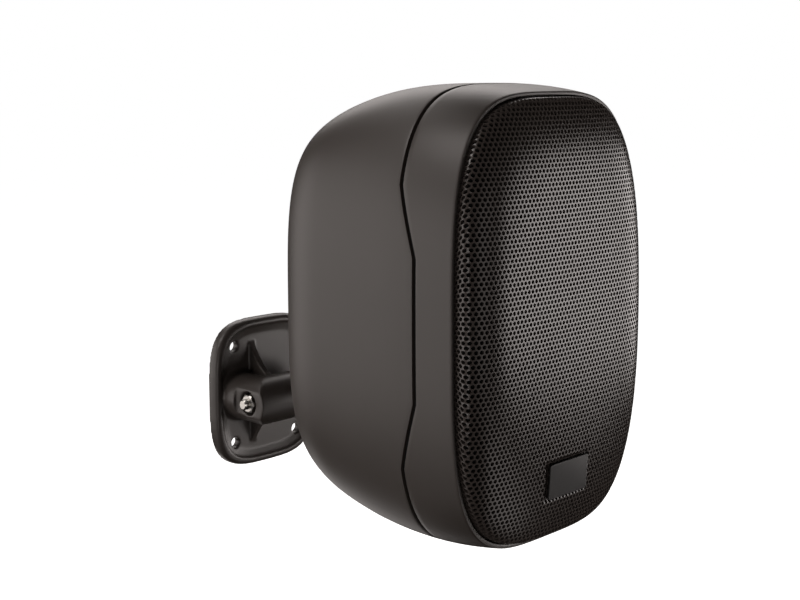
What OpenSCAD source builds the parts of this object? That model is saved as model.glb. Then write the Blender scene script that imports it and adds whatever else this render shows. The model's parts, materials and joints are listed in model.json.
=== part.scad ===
// Two-way wall speaker on a tilt and swivel bracket.
// The origin is the middle of the wall plate's back face, the wall is the plane y = 0,
// the front looks along -Y and +Z is up.

/* [Cabinet] */
// Widest part of the cabinet
cabinet_w = 141; // [136:1:160]
// Tallest part of the cabinet
cabinet_h = 220; // [214:1:240]
// Depth from the front ring to the flat rear face
cabinet_d = 129; // [126:1:150]
// How much narrower the front ring is than the cabinet, on each side
ring_in_w = 3.5; // [3:0.5:5]
// How much lower the front ring is than the cabinet, at each end
ring_in_h = 4; // [3.5:0.5:6]
// Squareness of the outline, 2 is an ellipse
squareness = 3.6; // [3:0.1:4.5]
// Depth over which the cabinet swells from the ring to its full size
flare_d = 40; // [30:1:45]
// How much the top and the bottom close in towards the rear
rear_taper = 26; // [20:1:28]
// Depth of the rounding at the rear sides
side_round_d = 42; // [36:1:48]
// Width of the rounding at the rear sides
side_round_w = 31; // [26:1:32]
// Rounding where the top and bottom meet the rear face
end_round = 10; // [6:1:12]
// Wall of both mouldings
wall = 3.5; // [3:0.5:4]
// Height of the cabinet's middle above the wall plate's middle
cabinet_rise = 70; // [64:1:80]

/* [Seam] */
// Depth of the seam beside the middle
seam_mid = 20.5; // [18:0.5:24]
// Depth of the seam at the top and bottom
seam_end = 30.5; // [28:0.5:34]
// Height above the middle where the seam starts to step back
step_start = 33.5; // [28:0.5:40]
// Height above the middle where the step ends
step_stop = 65.5; // [60:0.5:72]
// Width of the open groove
seam_gap = 2; // [1.5:0.1:2.5]
// How deep the seal lies below the surface
seal_inset = 1.6; // [1.2:0.1:2]

/* [Grille] */
// Front edge of the ring around the grille
ring_lip = 1.8; // [1.6:0.1:2.4]
// Gap between the ring and the grille
grille_gap = 0.7; // [0.5:0.1:1]
// How far the grille's middle stands out of the ring
grille_bulge = 13; // [11:0.5:15]
// How far the bulge rounds back at its edge
grille_shoulder = 5.7; // [4:0.1:6.5]
// Thickness of the perforated sheet
grille_t = 1.2; // [1:0.1:1.5]
// Hole in the sheet, coarser than on the finished part
grille_hole_d = 7; // [5:0.5:8]
// Distance between the holes
grille_pitch = 14.5; // [14:0.5:18]
// Width of the badge plate
badge_w = 28.5; // [26:0.5:31]
// Height of the badge plate
badge_h = 17; // [15:0.5:19]
// Thickness of the badge plate
badge_t = 1.2; // [1:0.1:2]
// Middle of the badge above the grille's lower end
badge_rise = 29.5; // [27.5:0.5:33.5]

/* [Baffle] */
// Depth of the baffle's front face behind the ring
baffle_d = 10; // [9:0.5:12]
// Thickness of the baffle
baffle_t = 5; // [4:0.5:6]
// Woofer below the middle
woofer_drop = 36; // [34:1:38]
// Tweeter above the middle
tweeter_rise = 58; // [56:1:60]

/* [Woofer] */
// Outer radius of the woofer's flange
flange_r = 53; // [52:0.5:54]
// Radius of the hole in the baffle
woofer_cut_r = 46; // [45.9:0.1:47]
// Thickness of the flange's seal
woofer_seal_t = 1; // [0.8:0.1:1.5]
// Sheet thickness of the basket
basket_t = 2; // [1.5:0.1:2.2]
// Radius of the basket below the flange
basket_r = 45.5; // [44.8:0.1:45.6]
// Depth of the basket behind the baffle's face
basket_d = 36; // [35:1:42]
// Radius of the ferrite ring
magnet_r = 35; // [32:1:38]
// Thickness of the ferrite ring
magnet_t = 14; // [12:1:18]
// Radius of the pole
pole_r = 12; // [11:0.5:12.5]
// Thickness of the pole plates
pole_plate_t = 4; // [3:0.5:5]
// Radial clearance of the voice coil on each side
coil_gap = 0.4; // [0.3:0.05:0.5]
// Travel of the cone each way
cone_travel = 3; // [2:0.5:3]

/* [Tweeter] */
// Outer radius of the tweeter's faceplate
tweeter_r = 28; // [26:0.5:29]
// Radius of the dome
dome_r = 12.5; // [11:0.5:13]
// Radius of the tweeter's magnet cup
tweeter_magnet_r = 18; // [17:0.5:19]
// Depth of the tweeter's magnet cup
tweeter_magnet_d = 18; // [15:1:22]

/* [Terminals] */
// Width of the terminal cup's flange
terminal_w = 60; // [58:1:62]
// Height of the terminal cup's flange
terminal_h = 54; // [52:1:56]
// Depth of the terminal cup
terminal_d = 20; // [18:1:22]
// Terminal cup above the cabinet's middle
terminal_rise = 32; // [30:1:34]
// Travel of a terminal lever in degrees
lever_travel = 15; // [10:1:16]

/* [Wall plate] */
// Width of the wall plate
plate_w = 76; // [72:1:84]
// Height of the wall plate
plate_h = 87; // [82:1:96]
// Thickness of the plate's floor
plate_floor = 5; // [4:0.5:6]
// Height of the plate's rim
plate_rim = 7.5; // [7:0.5:8]
// Distance between the screw holes across
hole_across = 46; // [44:1:48]
// Distance between the screw holes up
hole_up = 57; // [54:1:60]
// Diameter of the wall screw holes
plate_hole_d = 6; // [5:0.5:6.5]
// Thickness of the two ribs
rib_t = 4; // [3:0.5:5]

/* [Hinge] */
// Distance of the tilt axis from the wall
hinge_out = 27; // [26:0.5:30]
// Radius of both knuckles
knuckle_r = 13.5; // [13:0.5:14]
// Length of the knuckle on the plate
plate_knuckle = 30; // [28:0.5:32]
// Length of the knuckle on the arm
arm_knuckle = 27; // [25:0.5:30]
// Radius of the tilt bolt and of the pan bolt
bolt_r = 3; // [2.5:0.5:3]
// Running clearance round a bolt
bolt_fit = 0.05; // [0.03:0.01:0.08]
// Clearance between faces that turn past each other
face_gap = 0.1; // [0.05:0.05:0.2]
// Distance of the pan axis from the wall
pan_out = 66; // [64:1:68]
// Pan axis' middle above the tilt axis
pan_rise = 24; // [22:1:25]
// Height of the arm's pan barrel
barrel_h = 24; // [22:1:24]
// Radius of the arm's pan barrel
barrel_r = 10.8; // [10:0.1:11]
// Distance of the cabinet's rear face from the wall
standoff = 88; // [86:1:92]

/* [Hidden] */
$fn = 48;

body_grey = [0.25, 0.235, 0.225];
metal_grey = [0.45, 0.43, 0.42];
black = [0.08, 0.08, 0.08];
steel = [0.75, 0.75, 0.74];

ring_y = -standoff - cabinet_d;
ring_w = cabinet_w - 2 * ring_in_w;
ring_h = cabinet_h - 2 * ring_in_h;
outline_steps = 60;
eps = 0.01;

// Screws: shank radius, pilot clearance and head
screw_r = 1.9;
screw_fit = 0.1;
screw_head_r = 3.6;
screw_head_h = 2.2;

// Cabinet outline and depth profile
function power(base, p) = sign(base) * pow(abs(base), p);
function outline(half_w, half_h) = [for (i = [0:outline_steps - 1])
    let (a = 90 - 360 * i / outline_steps)
    [half_w * power(cos(a), 2 / squareness), half_h * power(sin(a), 2 / squareness)]];
function flare(d) = pow(max(0, 1 - d / flare_d), 2);
function round_off(d, len) = 1 - sqrt(max(0, 1 - pow(max(0, (d - cabinet_d + len) / len), 2)));
function half_w(d) = cabinet_w / 2 - (cabinet_w - ring_w) / 2 * flare(d)
    - side_round_w * round_off(d, side_round_d);
function half_h(d) = cabinet_h / 2 - (cabinet_h - ring_h) / 2 * flare(d)
    - rear_taper * pow(max(0, (d - flare_d) / (cabinet_d - flare_d)), 2.2)
    - end_round * round_off(d, end_round);
taper_depths = [for (i = [0:7]) i / 8 * (cabinet_d - side_round_d)];
round_depths = [for (i = [0:8]) cabinet_d - side_round_d + side_round_d * sin(i * 90 / 8)];
depths = concat(taper_depths, round_depths);

// A closed solid through rings of points: each ring starts at the top and runs clockwise
// seen from the front, and mirrored points of a ring share their height
module loft(rings) {
    n = len(rings[0]);
    last = len(rings) - 1;
    pts = [for (ring = rings) for (p = ring) p];
    sides = [for (r = [0:last - 1]) for (i = [0:n - 1])
        let (a = r * n + i, b = r * n + (i + 1) % n)
        each [[a, a + n, b], [b, a + n, b + n]]];
    cap = [for (i = [0:n / 2 - 1]) each [[i, i + 1, (n - i) % n], [i + 1, n - i - 1, (n - i) % n]]];
    flat_cap = [for (f = cap) if (f[0] != f[1] && f[1] != f[2] && f[0] != f[2]) f];
    back_cap = [for (f = flat_cap) [f[2] + last * n, f[1] + last * n, f[0] + last * n]];
    polyhedron(pts, concat(sides, flat_cap, back_cap), convexity = 8);
}

// From the cabinet's own frame, with y as the depth behind the ring, to the part's frame
module in_cabinet() {
    translate([0, ring_y, cabinet_rise]) children();
}

// Turns a round piece so that its height runs along +Y
module along_y() {
    rotate([-90, 0, 0]) children();
}

// Turns a round piece so that its height runs along +X
module along_x() {
    rotate([0, 90, 0]) children();
}

// A flat outline in X and Z, from depth y0 to depth y1
module slab(points, y0, y1) {
    translate([0, y1, 0]) rotate([90, 0, 0]) linear_extrude(y1 - y0) polygon(points);
}

// The cabinet's outer form, drawn in by inset all round and at the rear
module body_form(inset) {
    loft([for (d = depths)
        let (y = d * (cabinet_d - inset) / cabinet_d)
        [for (p = outline(half_w(d) - inset, half_h(d) - inset)) [p[0], y, p[1]]]]);
}

// All that lies in front of the stepped seam, moved back by shift
module before_seam(shift) {
    far = cabinet_h;
    mid = seam_mid + shift;
    end = seam_end + shift;
    rotate([90, 0, 90]) translate([0, 0, -cabinet_w]) linear_extrude(2 * cabinet_w)
        polygon([[-far, -far], [end, -far], [end, -step_stop], [mid, -step_start],
            [mid, step_start], [end, step_stop], [end, far], [-far, far]]);
}

// A screw along +Y with its pan head in front of y = 0
module screw(length) {
    along_y() {
        cylinder(r = screw_r, h = length);
        translate([0, 0, -screw_head_h]) cylinder(r = screw_head_r, h = screw_head_h);
    }
}

// A hole for such a screw along +Y
module screw_hole(length) {
    along_y() cylinder(r = screw_r + screw_fit, h = length);
}

// Places of the six screws that hold the front moulding to the rear one
corner_in_x = 22;
corner_in_z = 20.5;
side_in_x = 8;
side_z = 20;
cabinet_posts = [for (side = [-1, 1]) each [
    [side * (ring_w / 2 - corner_in_x), ring_h / 2 - corner_in_z],
    [side * (ring_w / 2 - side_in_x), side_z],
    [side * (ring_w / 2 - corner_in_x), corner_in_z - ring_h / 2]]];
post_r = 4.2;
post_end = seam_end + 30;
screw_spare = 23.5;
post_web_y = seam_end + 2;
post_web_t = 3;
post_web_w = 40;

module rear_cabinet() {
    color(body_grey) in_cabinet() difference() {
        union() {
            difference() {
                body_form(0);
                body_form(wall);
                before_seam(seam_gap / 2);
            }
            intersection() {
                body_form(1);
                for (p = cabinet_posts) translate([p[0], 0, p[1]]) {
                    translate([0, baffle_d + baffle_t, 0]) along_y()
                        cylinder(r = post_r, h = post_end - baffle_d - baffle_t);
                    rotate([0, -atan2(p[1], p[0]), 0]) translate([0, post_web_y, -post_web_t / 2])
                        cube([post_web_w, post_end - post_web_y, post_web_t]);
                }
            }
            for (p = base_screws) translate([p[0], cabinet_d - wall - base_boss, p[1]])
                along_y() cylinder(r = base_boss_r, h = base_boss + 1);
        }
        for (p = cabinet_posts) translate([p[0], 0, p[1]]) screw_hole(post_end - 4);
        for (p = base_screws) translate([p[0], cabinet_d - wall - base_boss - 1, p[1]])
            screw_hole(base_boss + wall + 2);
        terminal_hole();
    }
}

module front_baffle() {
    pocket_w = ring_w / 2 - ring_lip;
    pocket_h = ring_h / 2 - ring_lip;
    behind = baffle_d + baffle_t;
    color(body_grey) in_cabinet() difference() {
        intersection() {
            body_form(0);
            before_seam(-seam_gap / 2);
        }
        slab(outline(pocket_w, pocket_h), -1, baffle_d);
        slab(outline(half_w(behind) - wall, half_h(behind) - wall), behind, seam_end + wall);
        translate([0, 0, -woofer_drop]) along_y() cylinder(r = woofer_cut_r, h = 2 * behind, $fn = 96);
        translate([0, 0, tweeter_rise]) along_y()
            cylinder(r = tweeter_magnet_r + 1, h = 2 * behind, $fn = 64);
        for (p = cabinet_posts) translate([p[0], 0, p[1]]) screw_hole(2 * behind);
        for (a = woofer_screw_angles) translate([0, 0, -woofer_drop]) rotate([0, a, 0])
            translate([woofer_pcd_r, 0, 0]) screw_hole(2 * behind);
        for (a = tweeter_screw_angles) translate([0, 0, tweeter_rise]) rotate([0, a, 0])
            translate([tweeter_pcd_r, 0, 0]) screw_hole(2 * behind);
    }
}

module seam_gasket() {
    behind = baffle_d + baffle_t;
    color(black) in_cabinet() intersection() {
        difference() {
            body_form(seal_inset);
            slab(outline(half_w(behind) - wall, half_h(behind) - wall), 0, 2 * seam_end);
            before_seam(-seam_gap / 2);
        }
        before_seam(seam_gap / 2);
    }
}

// Grille: a crowned face with a rounded shoulder and a straight side down to the baffle
grille_half_w = ring_w / 2 - ring_lip - grille_gap;
grille_half_h = ring_h / 2 - ring_lip - grille_gap;
badge_drop = grille_half_h - badge_rise;
crown_x = 2.6e-4;
crown_z = 1.8e-4;
crown_corner = 1e-7;
grille_rings = [0.02, 0.3, 0.55, 0.75, 0.86, 0.93, 0.97, 0.99, 1];
function grille_y(x, z, rho) = crown_x * x * x + crown_z * z * z + crown_corner * x * x * z * z
    + grille_shoulder * pow(rho, 8) - grille_bulge;

// The grille's outer form, drawn in by inset, down to depth y1
module grille_form(inset, y1) {
    face = [for (rho = grille_rings)
        [for (p = outline((grille_half_w - inset) * rho, (grille_half_h - inset) * rho))
            [p[0], grille_y(p[0], p[1], rho) + inset, p[1]]]];
    side = [for (p = outline(grille_half_w - inset, grille_half_h - inset)) [p[0], y1, p[1]]];
    loft(concat(face, [side]));
}

hole_edge = 9;
row_pitch = grille_pitch * sin(60);
hole_rows = floor((grille_half_h - hole_edge) / row_pitch);
hole_columns = floor((grille_half_w - hole_edge) / grille_pitch) + 1;
function clear_of_badge(x, z) = abs(x) > badge_w / 2 + grille_hole_d / 2
    || abs(z + badge_drop) > badge_h / 2 + grille_hole_d / 2;
function on_face(x, z) = pow(abs(x) / (grille_half_w - hole_edge), squareness)
    + pow(abs(z) / (grille_half_h - hole_edge), squareness) < 1;

module grille() {
    color(metal_grey) in_cabinet() difference() {
        grille_form(0, baffle_d);
        grille_form(grille_t, baffle_d + 1);
        for (row = [-hole_rows:hole_rows]) for (col = [-hole_columns:hole_columns]) {
            x = (col + (row % 2 == 0 ? 0 : 0.5)) * grille_pitch;
            z = row * row_pitch;
            if (on_face(x, z) && clear_of_badge(x, z)) translate([x, -grille_bulge - 1, z])
                along_y() cylinder(d = grille_hole_d, h = grille_bulge, $fn = 16);
        }
    }
}

scrim_t = 0.5;
scrim_gap = 0.3;

module grille_scrim() {
    inset = grille_t + scrim_gap;
    color(black) in_cabinet() intersection() {
        difference() {
            grille_form(inset, baffle_d);
            grille_form(inset + scrim_t, baffle_d + 1);
        }
        translate([-cabinet_w, -cabinet_d, -cabinet_h])
            cube([2 * cabinet_w, cabinet_d, 2 * cabinet_h]);
    }
}

// Badge: flat bare plate that leans back with the crowned sheet behind it
function face_y(z) = grille_y(0, z, abs(z) / grille_half_h);
badge_top_y = face_y(badge_h / 2 - badge_drop);
badge_low_y = face_y(-badge_h / 2 - badge_drop);
badge_gap = 0.15;

module badge_plate() {
    color([0.19, 0.18, 0.17]) in_cabinet()
        translate([0, (badge_top_y + badge_low_y) / 2 - badge_gap, -badge_drop])
            rotate([atan((badge_low_y - badge_top_y) / badge_h), 0, 0])
                translate([-badge_w / 2, -badge_t, -badge_h / 2]) cube([badge_w, badge_t, badge_h]);
}

// Wall plate
module plate_ring(half_w, half_h, rings) {
    loft([for (r = rings) [for (p = outline(half_w - r[1], half_h - r[1])) [p[0], r[0], p[1]]]]);
}
knuckle_x1 = -0.9;
knuckle_x0 = knuckle_x1 - plate_knuckle;
knuckle_round = 4.5;
recess_r = 6.7;
recess_d = 5;
rib_x = -10;
rib_reach = 32;
pillar_x = knuckle_x0 + 11;
pillar_r = knuckle_r - 0.2;
pillar_front = hinge_out + knuckle_r + 1;
ledge_y = 17;
foot_r = knuckle_r + 1.6;
foot_h = 3;

// Half section of a knuckle: from its flat face at x = 0, with a rounded outer end
function knuckle_profile(len) = concat([[0, 0], [knuckle_r - 0.6, 0], [knuckle_r, 0.6]],
    [for (a = [0:15:90])
        [knuckle_r - knuckle_round * (1 - cos(a)), len - knuckle_round * (1 - sin(a))]],
    [[0, len]]);

module rib() {
    bottom = plate_floor - 1;
    top = hinge_out;
    translate([rib_x - rib_t / 2, 0, 0]) rotate([90, 0, 90]) linear_extrude(rib_t)
        polygon(concat([[-bottom, 0], [-top, 0], [-top, knuckle_r - 1]],
            [for (i = [0:6]) let (s = i / 6)
                [-top + 1 + (top - bottom - 1) * s,
                    knuckle_r - 2 + (rib_reach - knuckle_r + 2) * s * s]]));
}

// Pillar with the fixed knuckle across its front, cut flat where the nut sits
module plate_boss() {
    difference() {
        union() {
            translate([pillar_x, -hinge_out, 0]) along_y() {
                cylinder(r = pillar_r, h = hinge_out - 1);
                translate([0, 0, hinge_out - plate_floor - foot_h])
                    cylinder(r1 = pillar_r - 0.2, r2 = foot_r, h = foot_h);
            }
            intersection() {
                translate([knuckle_x1, -hinge_out, 0]) rotate([0, -90, 0])
                    cylinder(r = knuckle_r, h = plate_knuckle + knuckle_r);
                union() {
                    translate([pillar_x, -pillar_front, 0]) along_y()
                        cylinder(r = pillar_r, h = pillar_front - 1);
                    translate([pillar_x, -pillar_front, -foot_r - 1])
                        cube([-pillar_x, pillar_front - 1, 2 * foot_r + 2]);
                }
            }
        }
        translate([knuckle_x0 - knuckle_r, -pillar_front - 1, -foot_r - 1])
            cube([knuckle_r, pillar_front + 1 - ledge_y, 2 * foot_r + 2]);
    }
}

module wall_plate() {
    color(body_grey) difference() {
        union() {
            difference() {
                plate_ring(plate_w / 2, plate_h / 2, [[-plate_rim, 2.6], [-plate_rim + 0.6, 1.2],
                    [-plate_rim + 2, 0.3], [-plate_rim + 3.5, 0], [0, 0]]);
                plate_ring(plate_w / 2, plate_h / 2, [[-plate_rim - 1, 3.4], [-plate_rim + 1, 4.6],
                    [-plate_floor, 9]]);
            }
            plate_boss();
            for (low = [0, 1]) mirror([0, 0, low]) rib();
        }
        for (x = [-1, 1]) for (z = [-1, 1])
            translate([x * hole_across / 2, -plate_rim - 1, z * hole_up / 2])
                along_y() cylinder(d = plate_hole_d, h = plate_rim + 2);
        translate([knuckle_x0 - 1, -hinge_out, 0]) along_x()
            cylinder(r = bolt_r + bolt_fit, h = plate_knuckle + 2);
        translate([knuckle_x0 - 1, -hinge_out, 0]) along_x() cylinder(r = recess_r, h = recess_d + 1);
        translate([knuckle_x1, -hinge_out - knuckle_r - 1, -knuckle_r - 1])
            cube([knuckle_r, 2 * knuckle_r + 2, 2 * knuckle_r + 2]);
    }
}

// Tilt hinge hardware
washer_t = 0.9;
arm_x0 = knuckle_x1 + washer_t + face_gap;
arm_x1 = arm_x0 + arm_knuckle;
nut_h = 4;
nut_flange = 1.4;
flange_head_r = 6.3;
hex_r = 5.6;
bolt_head_h = 4;
bolt_end = 3.8;
pan_bolt_end = 1.5;

module tilt_bolt() {
    head_x = arm_x1 - recess_d + face_gap;
    color(steel) translate([0, -hinge_out, 0]) along_x() {
        translate([0, 0, knuckle_x0 - bolt_end])
            cylinder(r = bolt_r, h = head_x - knuckle_x0 + bolt_end + eps);
        translate([0, 0, head_x]) cylinder(r = flange_head_r, h = nut_flange);
        translate([0, 0, head_x + nut_flange]) cylinder(r = hex_r, h = bolt_head_h, $fn = 6);
    }
}

module tilt_nut() {
    seat_x = knuckle_x0 + recess_d;
    color(steel) translate([seat_x, -hinge_out, 0]) rotate([0, -90, 0]) difference() {
        union() {
            cylinder(r = flange_head_r, h = nut_flange);
            translate([0, 0, nut_flange]) cylinder(r = hex_r, h = nut_h, $fn = 6);
        }
        translate([0, 0, -1]) cylinder(r = bolt_r + bolt_fit, h = nut_h + nut_flange + 2);
    }
}

module tilt_washer() {
    color(black) translate([knuckle_x1, -hinge_out, 0]) along_x() difference() {
        cylinder(r = knuckle_r - 1, h = washer_t);
        translate([0, 0, -1]) cylinder(r = bolt_r + bolt_fit, h = washer_t + 2);
    }
}

// Swivel arm
bush_flange_t = 1;
bush_r = bolt_r + 2;
bush_l = 8;
lug_t = 5;
lug_r = 11;
beam_w = 15;
beam_end_r = 5;
barrel_z0 = pan_rise - barrel_h / 2;
barrel_z1 = pan_rise + barrel_h / 2;
lug_top_z = barrel_z1 + bush_flange_t + face_gap;
lug_low_z = barrel_z0 - bush_flange_t - face_gap - lug_t;

module swivel_arm() {
    color(body_grey) difference() {
        union() {
            translate([arm_x0, -hinge_out, 0]) along_x()
                rotate_extrude() polygon(knuckle_profile(arm_knuckle));
            translate([0, -pan_out, barrel_z0]) cylinder(r = barrel_r, h = barrel_h);
            hull() {
                translate([arm_x0 + 3, -hinge_out, 0]) along_x()
                    cylinder(r = knuckle_r - 3, h = arm_knuckle - 8, $fn = 32);
                translate([-beam_w / 2, barrel_r - 3 - pan_out, pan_rise + 2]) along_x()
                    cylinder(r = beam_end_r, h = beam_w, $fn = 32);
            }
        }
        translate([arm_x0 - 1, -hinge_out, 0]) along_x()
            cylinder(r = bolt_r + bolt_fit, h = arm_knuckle + 2);
        translate([arm_x1 - recess_d, -hinge_out, 0]) along_x()
            cylinder(r = recess_r, h = recess_d + 1);
        translate([0, -pan_out, barrel_z0 - 1]) cylinder(r = bush_r, h = barrel_h + 2);
        translate([arm_x0 - plate_knuckle, -hinge_out, 0]) along_x()
            cylinder(r = knuckle_r + 1, h = plate_knuckle);
    }
}

module pan_bushes() {
    color([0.55, 0.5, 0.35]) for (low = [0, 1]) translate([0, -pan_out, pan_rise]) mirror([0, 0, low])
        difference() {
            union() {
                translate([0, 0, barrel_h / 2 - bush_l]) cylinder(r = bush_r, h = bush_l);
                translate([0, 0, barrel_h / 2]) cylinder(r = bush_r + 3, h = bush_flange_t);
            }
            cylinder(r = bolt_r + bolt_fit, h = barrel_h);
        }
}

module pan_bolt() {
    top = lug_top_z + lug_t;
    low = lug_low_z - nut_h - nut_flange - pan_bolt_end;
    color(steel) translate([0, -pan_out, 0]) {
        translate([0, 0, low]) cylinder(r = bolt_r, h = top - low + eps);
        translate([0, 0, top]) cylinder(r = flange_head_r, h = nut_flange);
        translate([0, 0, top + nut_flange]) cylinder(r = hex_r, h = bolt_head_h, $fn = 6);
    }
}

module pan_nut() {
    color(steel) translate([0, -pan_out, lug_low_z]) mirror([0, 0, 1]) difference() {
        union() {
            cylinder(r = flange_head_r, h = nut_flange);
            translate([0, 0, nut_flange]) cylinder(r = hex_r, h = nut_h, $fn = 6);
        }
        translate([0, 0, -1]) cylinder(r = bolt_r + bolt_fit, h = nut_h + nut_flange + 2);
    }
}

// Foot of the swivel on the cabinet
base_r = 23;
base_t = 4;
base_boss = 9;
base_boss_r = 4.5;
base_low = cabinet_rise - pan_rise;
base_screw_x = 17;
base_screw_z = 7;
base_screws = [for (x = [-1, 1]) for (z = [-1, 1])
    [x * base_screw_x, z * base_screw_z - base_low]];

module swivel_base() {
    color(body_grey) difference() {
        union() {
            translate([0, -standoff, pan_rise]) along_y() cylinder(r = base_r, h = base_t);
            for (z = [lug_low_z, lug_top_z]) translate([0, 0, z]) {
                translate([0, -pan_out, 0]) cylinder(r = lug_r, h = lug_t);
                translate([-lug_r, -standoff + base_t / 2, 0])
                    cube([2 * lug_r, standoff - pan_out - base_t / 2, lug_t]);
            }
        }
        translate([0, -pan_out, lug_low_z - 1])
            cylinder(r = bolt_r + bolt_fit, h = lug_top_z - lug_low_z + lug_t + 2);
        for (p = base_screws) translate([p[0], -standoff - 1, p[1] + cabinet_rise])
            screw_hole(base_t + 2);
    }
}

module swivel_base_screws() {
    color(steel) for (p = base_screws) translate([p[0], -standoff + base_t, p[1] + cabinet_rise])
        rotate([0, 0, 180]) screw(base_t + wall + base_boss);
}

// Woofer, with heights measured from the baffle's front face towards the rear
flange_t = 2.5;
flange_z = -woofer_seal_t - flange_t;
woofer_pcd_r = flange_r - screw_head_r - 0.2;
surround_r = woofer_pcd_r - screw_head_r - 0.2;
woofer_screw_angles = [45, 135, 225, 315];
former_r = pole_r + coil_gap;
former_t = 0.4;
winding_t = 0.7;
neck_r = former_r + former_t;
plate_bore_r = neck_r + winding_t + coil_gap;
cone_rim_r = basket_r - 8;
cone_t = 0.8;
cone_neck_z = 14;
roll_r = (basket_r - 1.5 - cone_rim_r) / 2;
roll_mid = cone_rim_r + roll_r;
lip_t = 0.8;
spider_z = 24;
spider_seat_r = 26;
basket_neck_r = 31;
plate_z = basket_d;
magnet_z = plate_z + pole_plate_t;
yoke_z = magnet_z + magnet_t;
window_from = 33;
window_w = 24;
window_z = 7;
window_h = 14;

module at_woofer() {
    in_cabinet() translate([0, baffle_d, -woofer_drop]) along_y() children();
}

module woofer_basket() {
    color(black) at_woofer() difference() {
        rotate_extrude($fn = 96) polygon([[basket_r - basket_t, flange_z], [flange_r, flange_z],
            [flange_r, -woofer_seal_t], [basket_r, -woofer_seal_t], [basket_r, 4],
            [basket_neck_r, spider_z + 4], [basket_neck_r, basket_d],
            [plate_bore_r + 2, basket_d], [plate_bore_r + 2, basket_d - basket_t],
            [basket_neck_r - basket_t, basket_d - basket_t], [basket_neck_r - basket_t, spider_z + 2],
            [spider_seat_r, spider_z + 2], [spider_seat_r, spider_z], [basket_neck_r, spider_z],
            [basket_r - basket_t, 3]]);
        for (i = [0:5]) rotate([0, 0, 60 * i]) translate([window_from, -window_w / 2, window_z])
            cube([basket_r - window_from + 5, window_w, window_h]);
        for (a = woofer_screw_angles) rotate([0, 0, a]) translate([woofer_pcd_r, 0, flange_z - 1])
            cylinder(r = screw_r + screw_fit, h = flange_t + 2);
    }
}

module woofer_gasket() {
    color([0.2, 0.2, 0.2]) at_woofer() difference() {
        translate([0, 0, -woofer_seal_t]) cylinder(r = flange_r - 0.5, h = woofer_seal_t, $fn = 96);
        translate([0, 0, -2]) cylinder(r = woofer_cut_r + 0.2, h = 4, $fn = 96);
        for (a = woofer_screw_angles) rotate([0, 0, a]) translate([woofer_pcd_r, 0, -2])
            cylinder(r = screw_r + screw_fit, h = 4);
    }
}

module woofer_cone() {
    color([0.12, 0.12, 0.13]) at_woofer() rotate_extrude($fn = 96)
        polygon([[neck_r, cone_neck_z], [cone_rim_r - 3, flange_z], [cone_rim_r, flange_z],
            [cone_rim_r, flange_z + cone_t], [cone_rim_r - 2.4, flange_z + cone_t],
            [neck_r, cone_neck_z + 1.2 * cone_t]]);
}

module woofer_surround() {
    steps = 8;
    arc = [for (i = [0:steps]) let (a = 180 - 180 * i / steps) [cos(a), -sin(a)]];
    z = flange_z;
    color([0.1, 0.1, 0.1]) at_woofer() rotate_extrude($fn = 96)
        polygon(concat([[cone_rim_r - 2.5, z], [cone_rim_r - 2.5, z - lip_t]],
            [for (p = arc) [roll_mid + p[0] * roll_r, z - lip_t + p[1] * roll_r]],
            [[surround_r, z - lip_t], [surround_r, z]],
            [for (i = [steps:-1:0])
                [roll_mid + arc[i][0] * (roll_r - lip_t), z + arc[i][1] * (roll_r - lip_t)]]));
}

module dust_cap() {
    cap_r = 15.5;
    rim_z = cone_neck_z - (cap_r - neck_r) * (cone_neck_z - flange_z) / (cone_rim_r - 3 - neck_r);
    function dome(r, full_r, rise) = rise * (1 - pow(r / full_r, 2));
    color([0.1, 0.1, 0.11]) at_woofer() rotate_extrude($fn = 64)
        polygon(concat([for (i = [0:8]) let (r = cap_r * i / 8) [r, rim_z - dome(r, cap_r, 5.5)]],
            [for (i = [8:-1:0]) let (r = (cap_r - 0.5) * i / 8)
                [r, rim_z + 0.1 - dome(r, cap_r - 0.5, 4.9)]]));
}

module spider() {
    waves = 24;
    r0 = neck_r;
    r1 = spider_seat_r + 2.5;
    function wave(i) = 0.9 * sin(i * 720 / waves);
    color([0.85, 0.7, 0.4]) at_woofer() rotate_extrude($fn = 64)
        polygon(concat(
            [for (i = [0:waves]) [r0 + (spider_seat_r - r0) * i / waves, spider_z - 0.6 + wave(i)]],
            [[r1, spider_z - 0.6], [r1, spider_z]],
            [for (i = [waves:-1:0]) [r0 + (spider_seat_r - r0) * i / waves, spider_z + wave(i)]]));
}

module voice_coil() {
    color([0.75, 0.45, 0.25]) at_woofer() difference() {
        union() {
            translate([0, 0, cone_neck_z - 1])
                cylinder(r = neck_r, h = yoke_z - cone_travel - 5 - cone_neck_z + 1, $fn = 64);
            translate([0, 0, plate_z - cone_travel])
                cylinder(r = neck_r + winding_t, h = pole_plate_t + 2 * cone_travel, $fn = 64);
        }
        translate([0, 0, cone_neck_z - 2]) cylinder(r = former_r, h = yoke_z, $fn = 64);
    }
}

module front_pole_plate() {
    color(steel) at_woofer() translate([0, 0, plate_z]) difference() {
        cylinder(r = magnet_r - 4, h = pole_plate_t, $fn = 64);
        translate([0, 0, -1]) cylinder(r = plate_bore_r, h = pole_plate_t + 2, $fn = 64);
    }
}

module woofer_magnet() {
    color([0.2, 0.2, 0.21]) at_woofer() translate([0, 0, magnet_z]) difference() {
        cylinder(r = magnet_r, h = magnet_t, $fn = 64);
        translate([0, 0, -1]) cylinder(r = plate_bore_r + 3, h = magnet_t + 2, $fn = 64);
    }
}

module pole_piece() {
    color(steel) at_woofer() {
        translate([0, 0, yoke_z]) cylinder(r = magnet_r - 2, h = pole_plate_t, $fn = 64);
        translate([0, 0, plate_z]) cylinder(r = pole_r, h = yoke_z - plate_z + 1, $fn = 64);
    }
}

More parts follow.
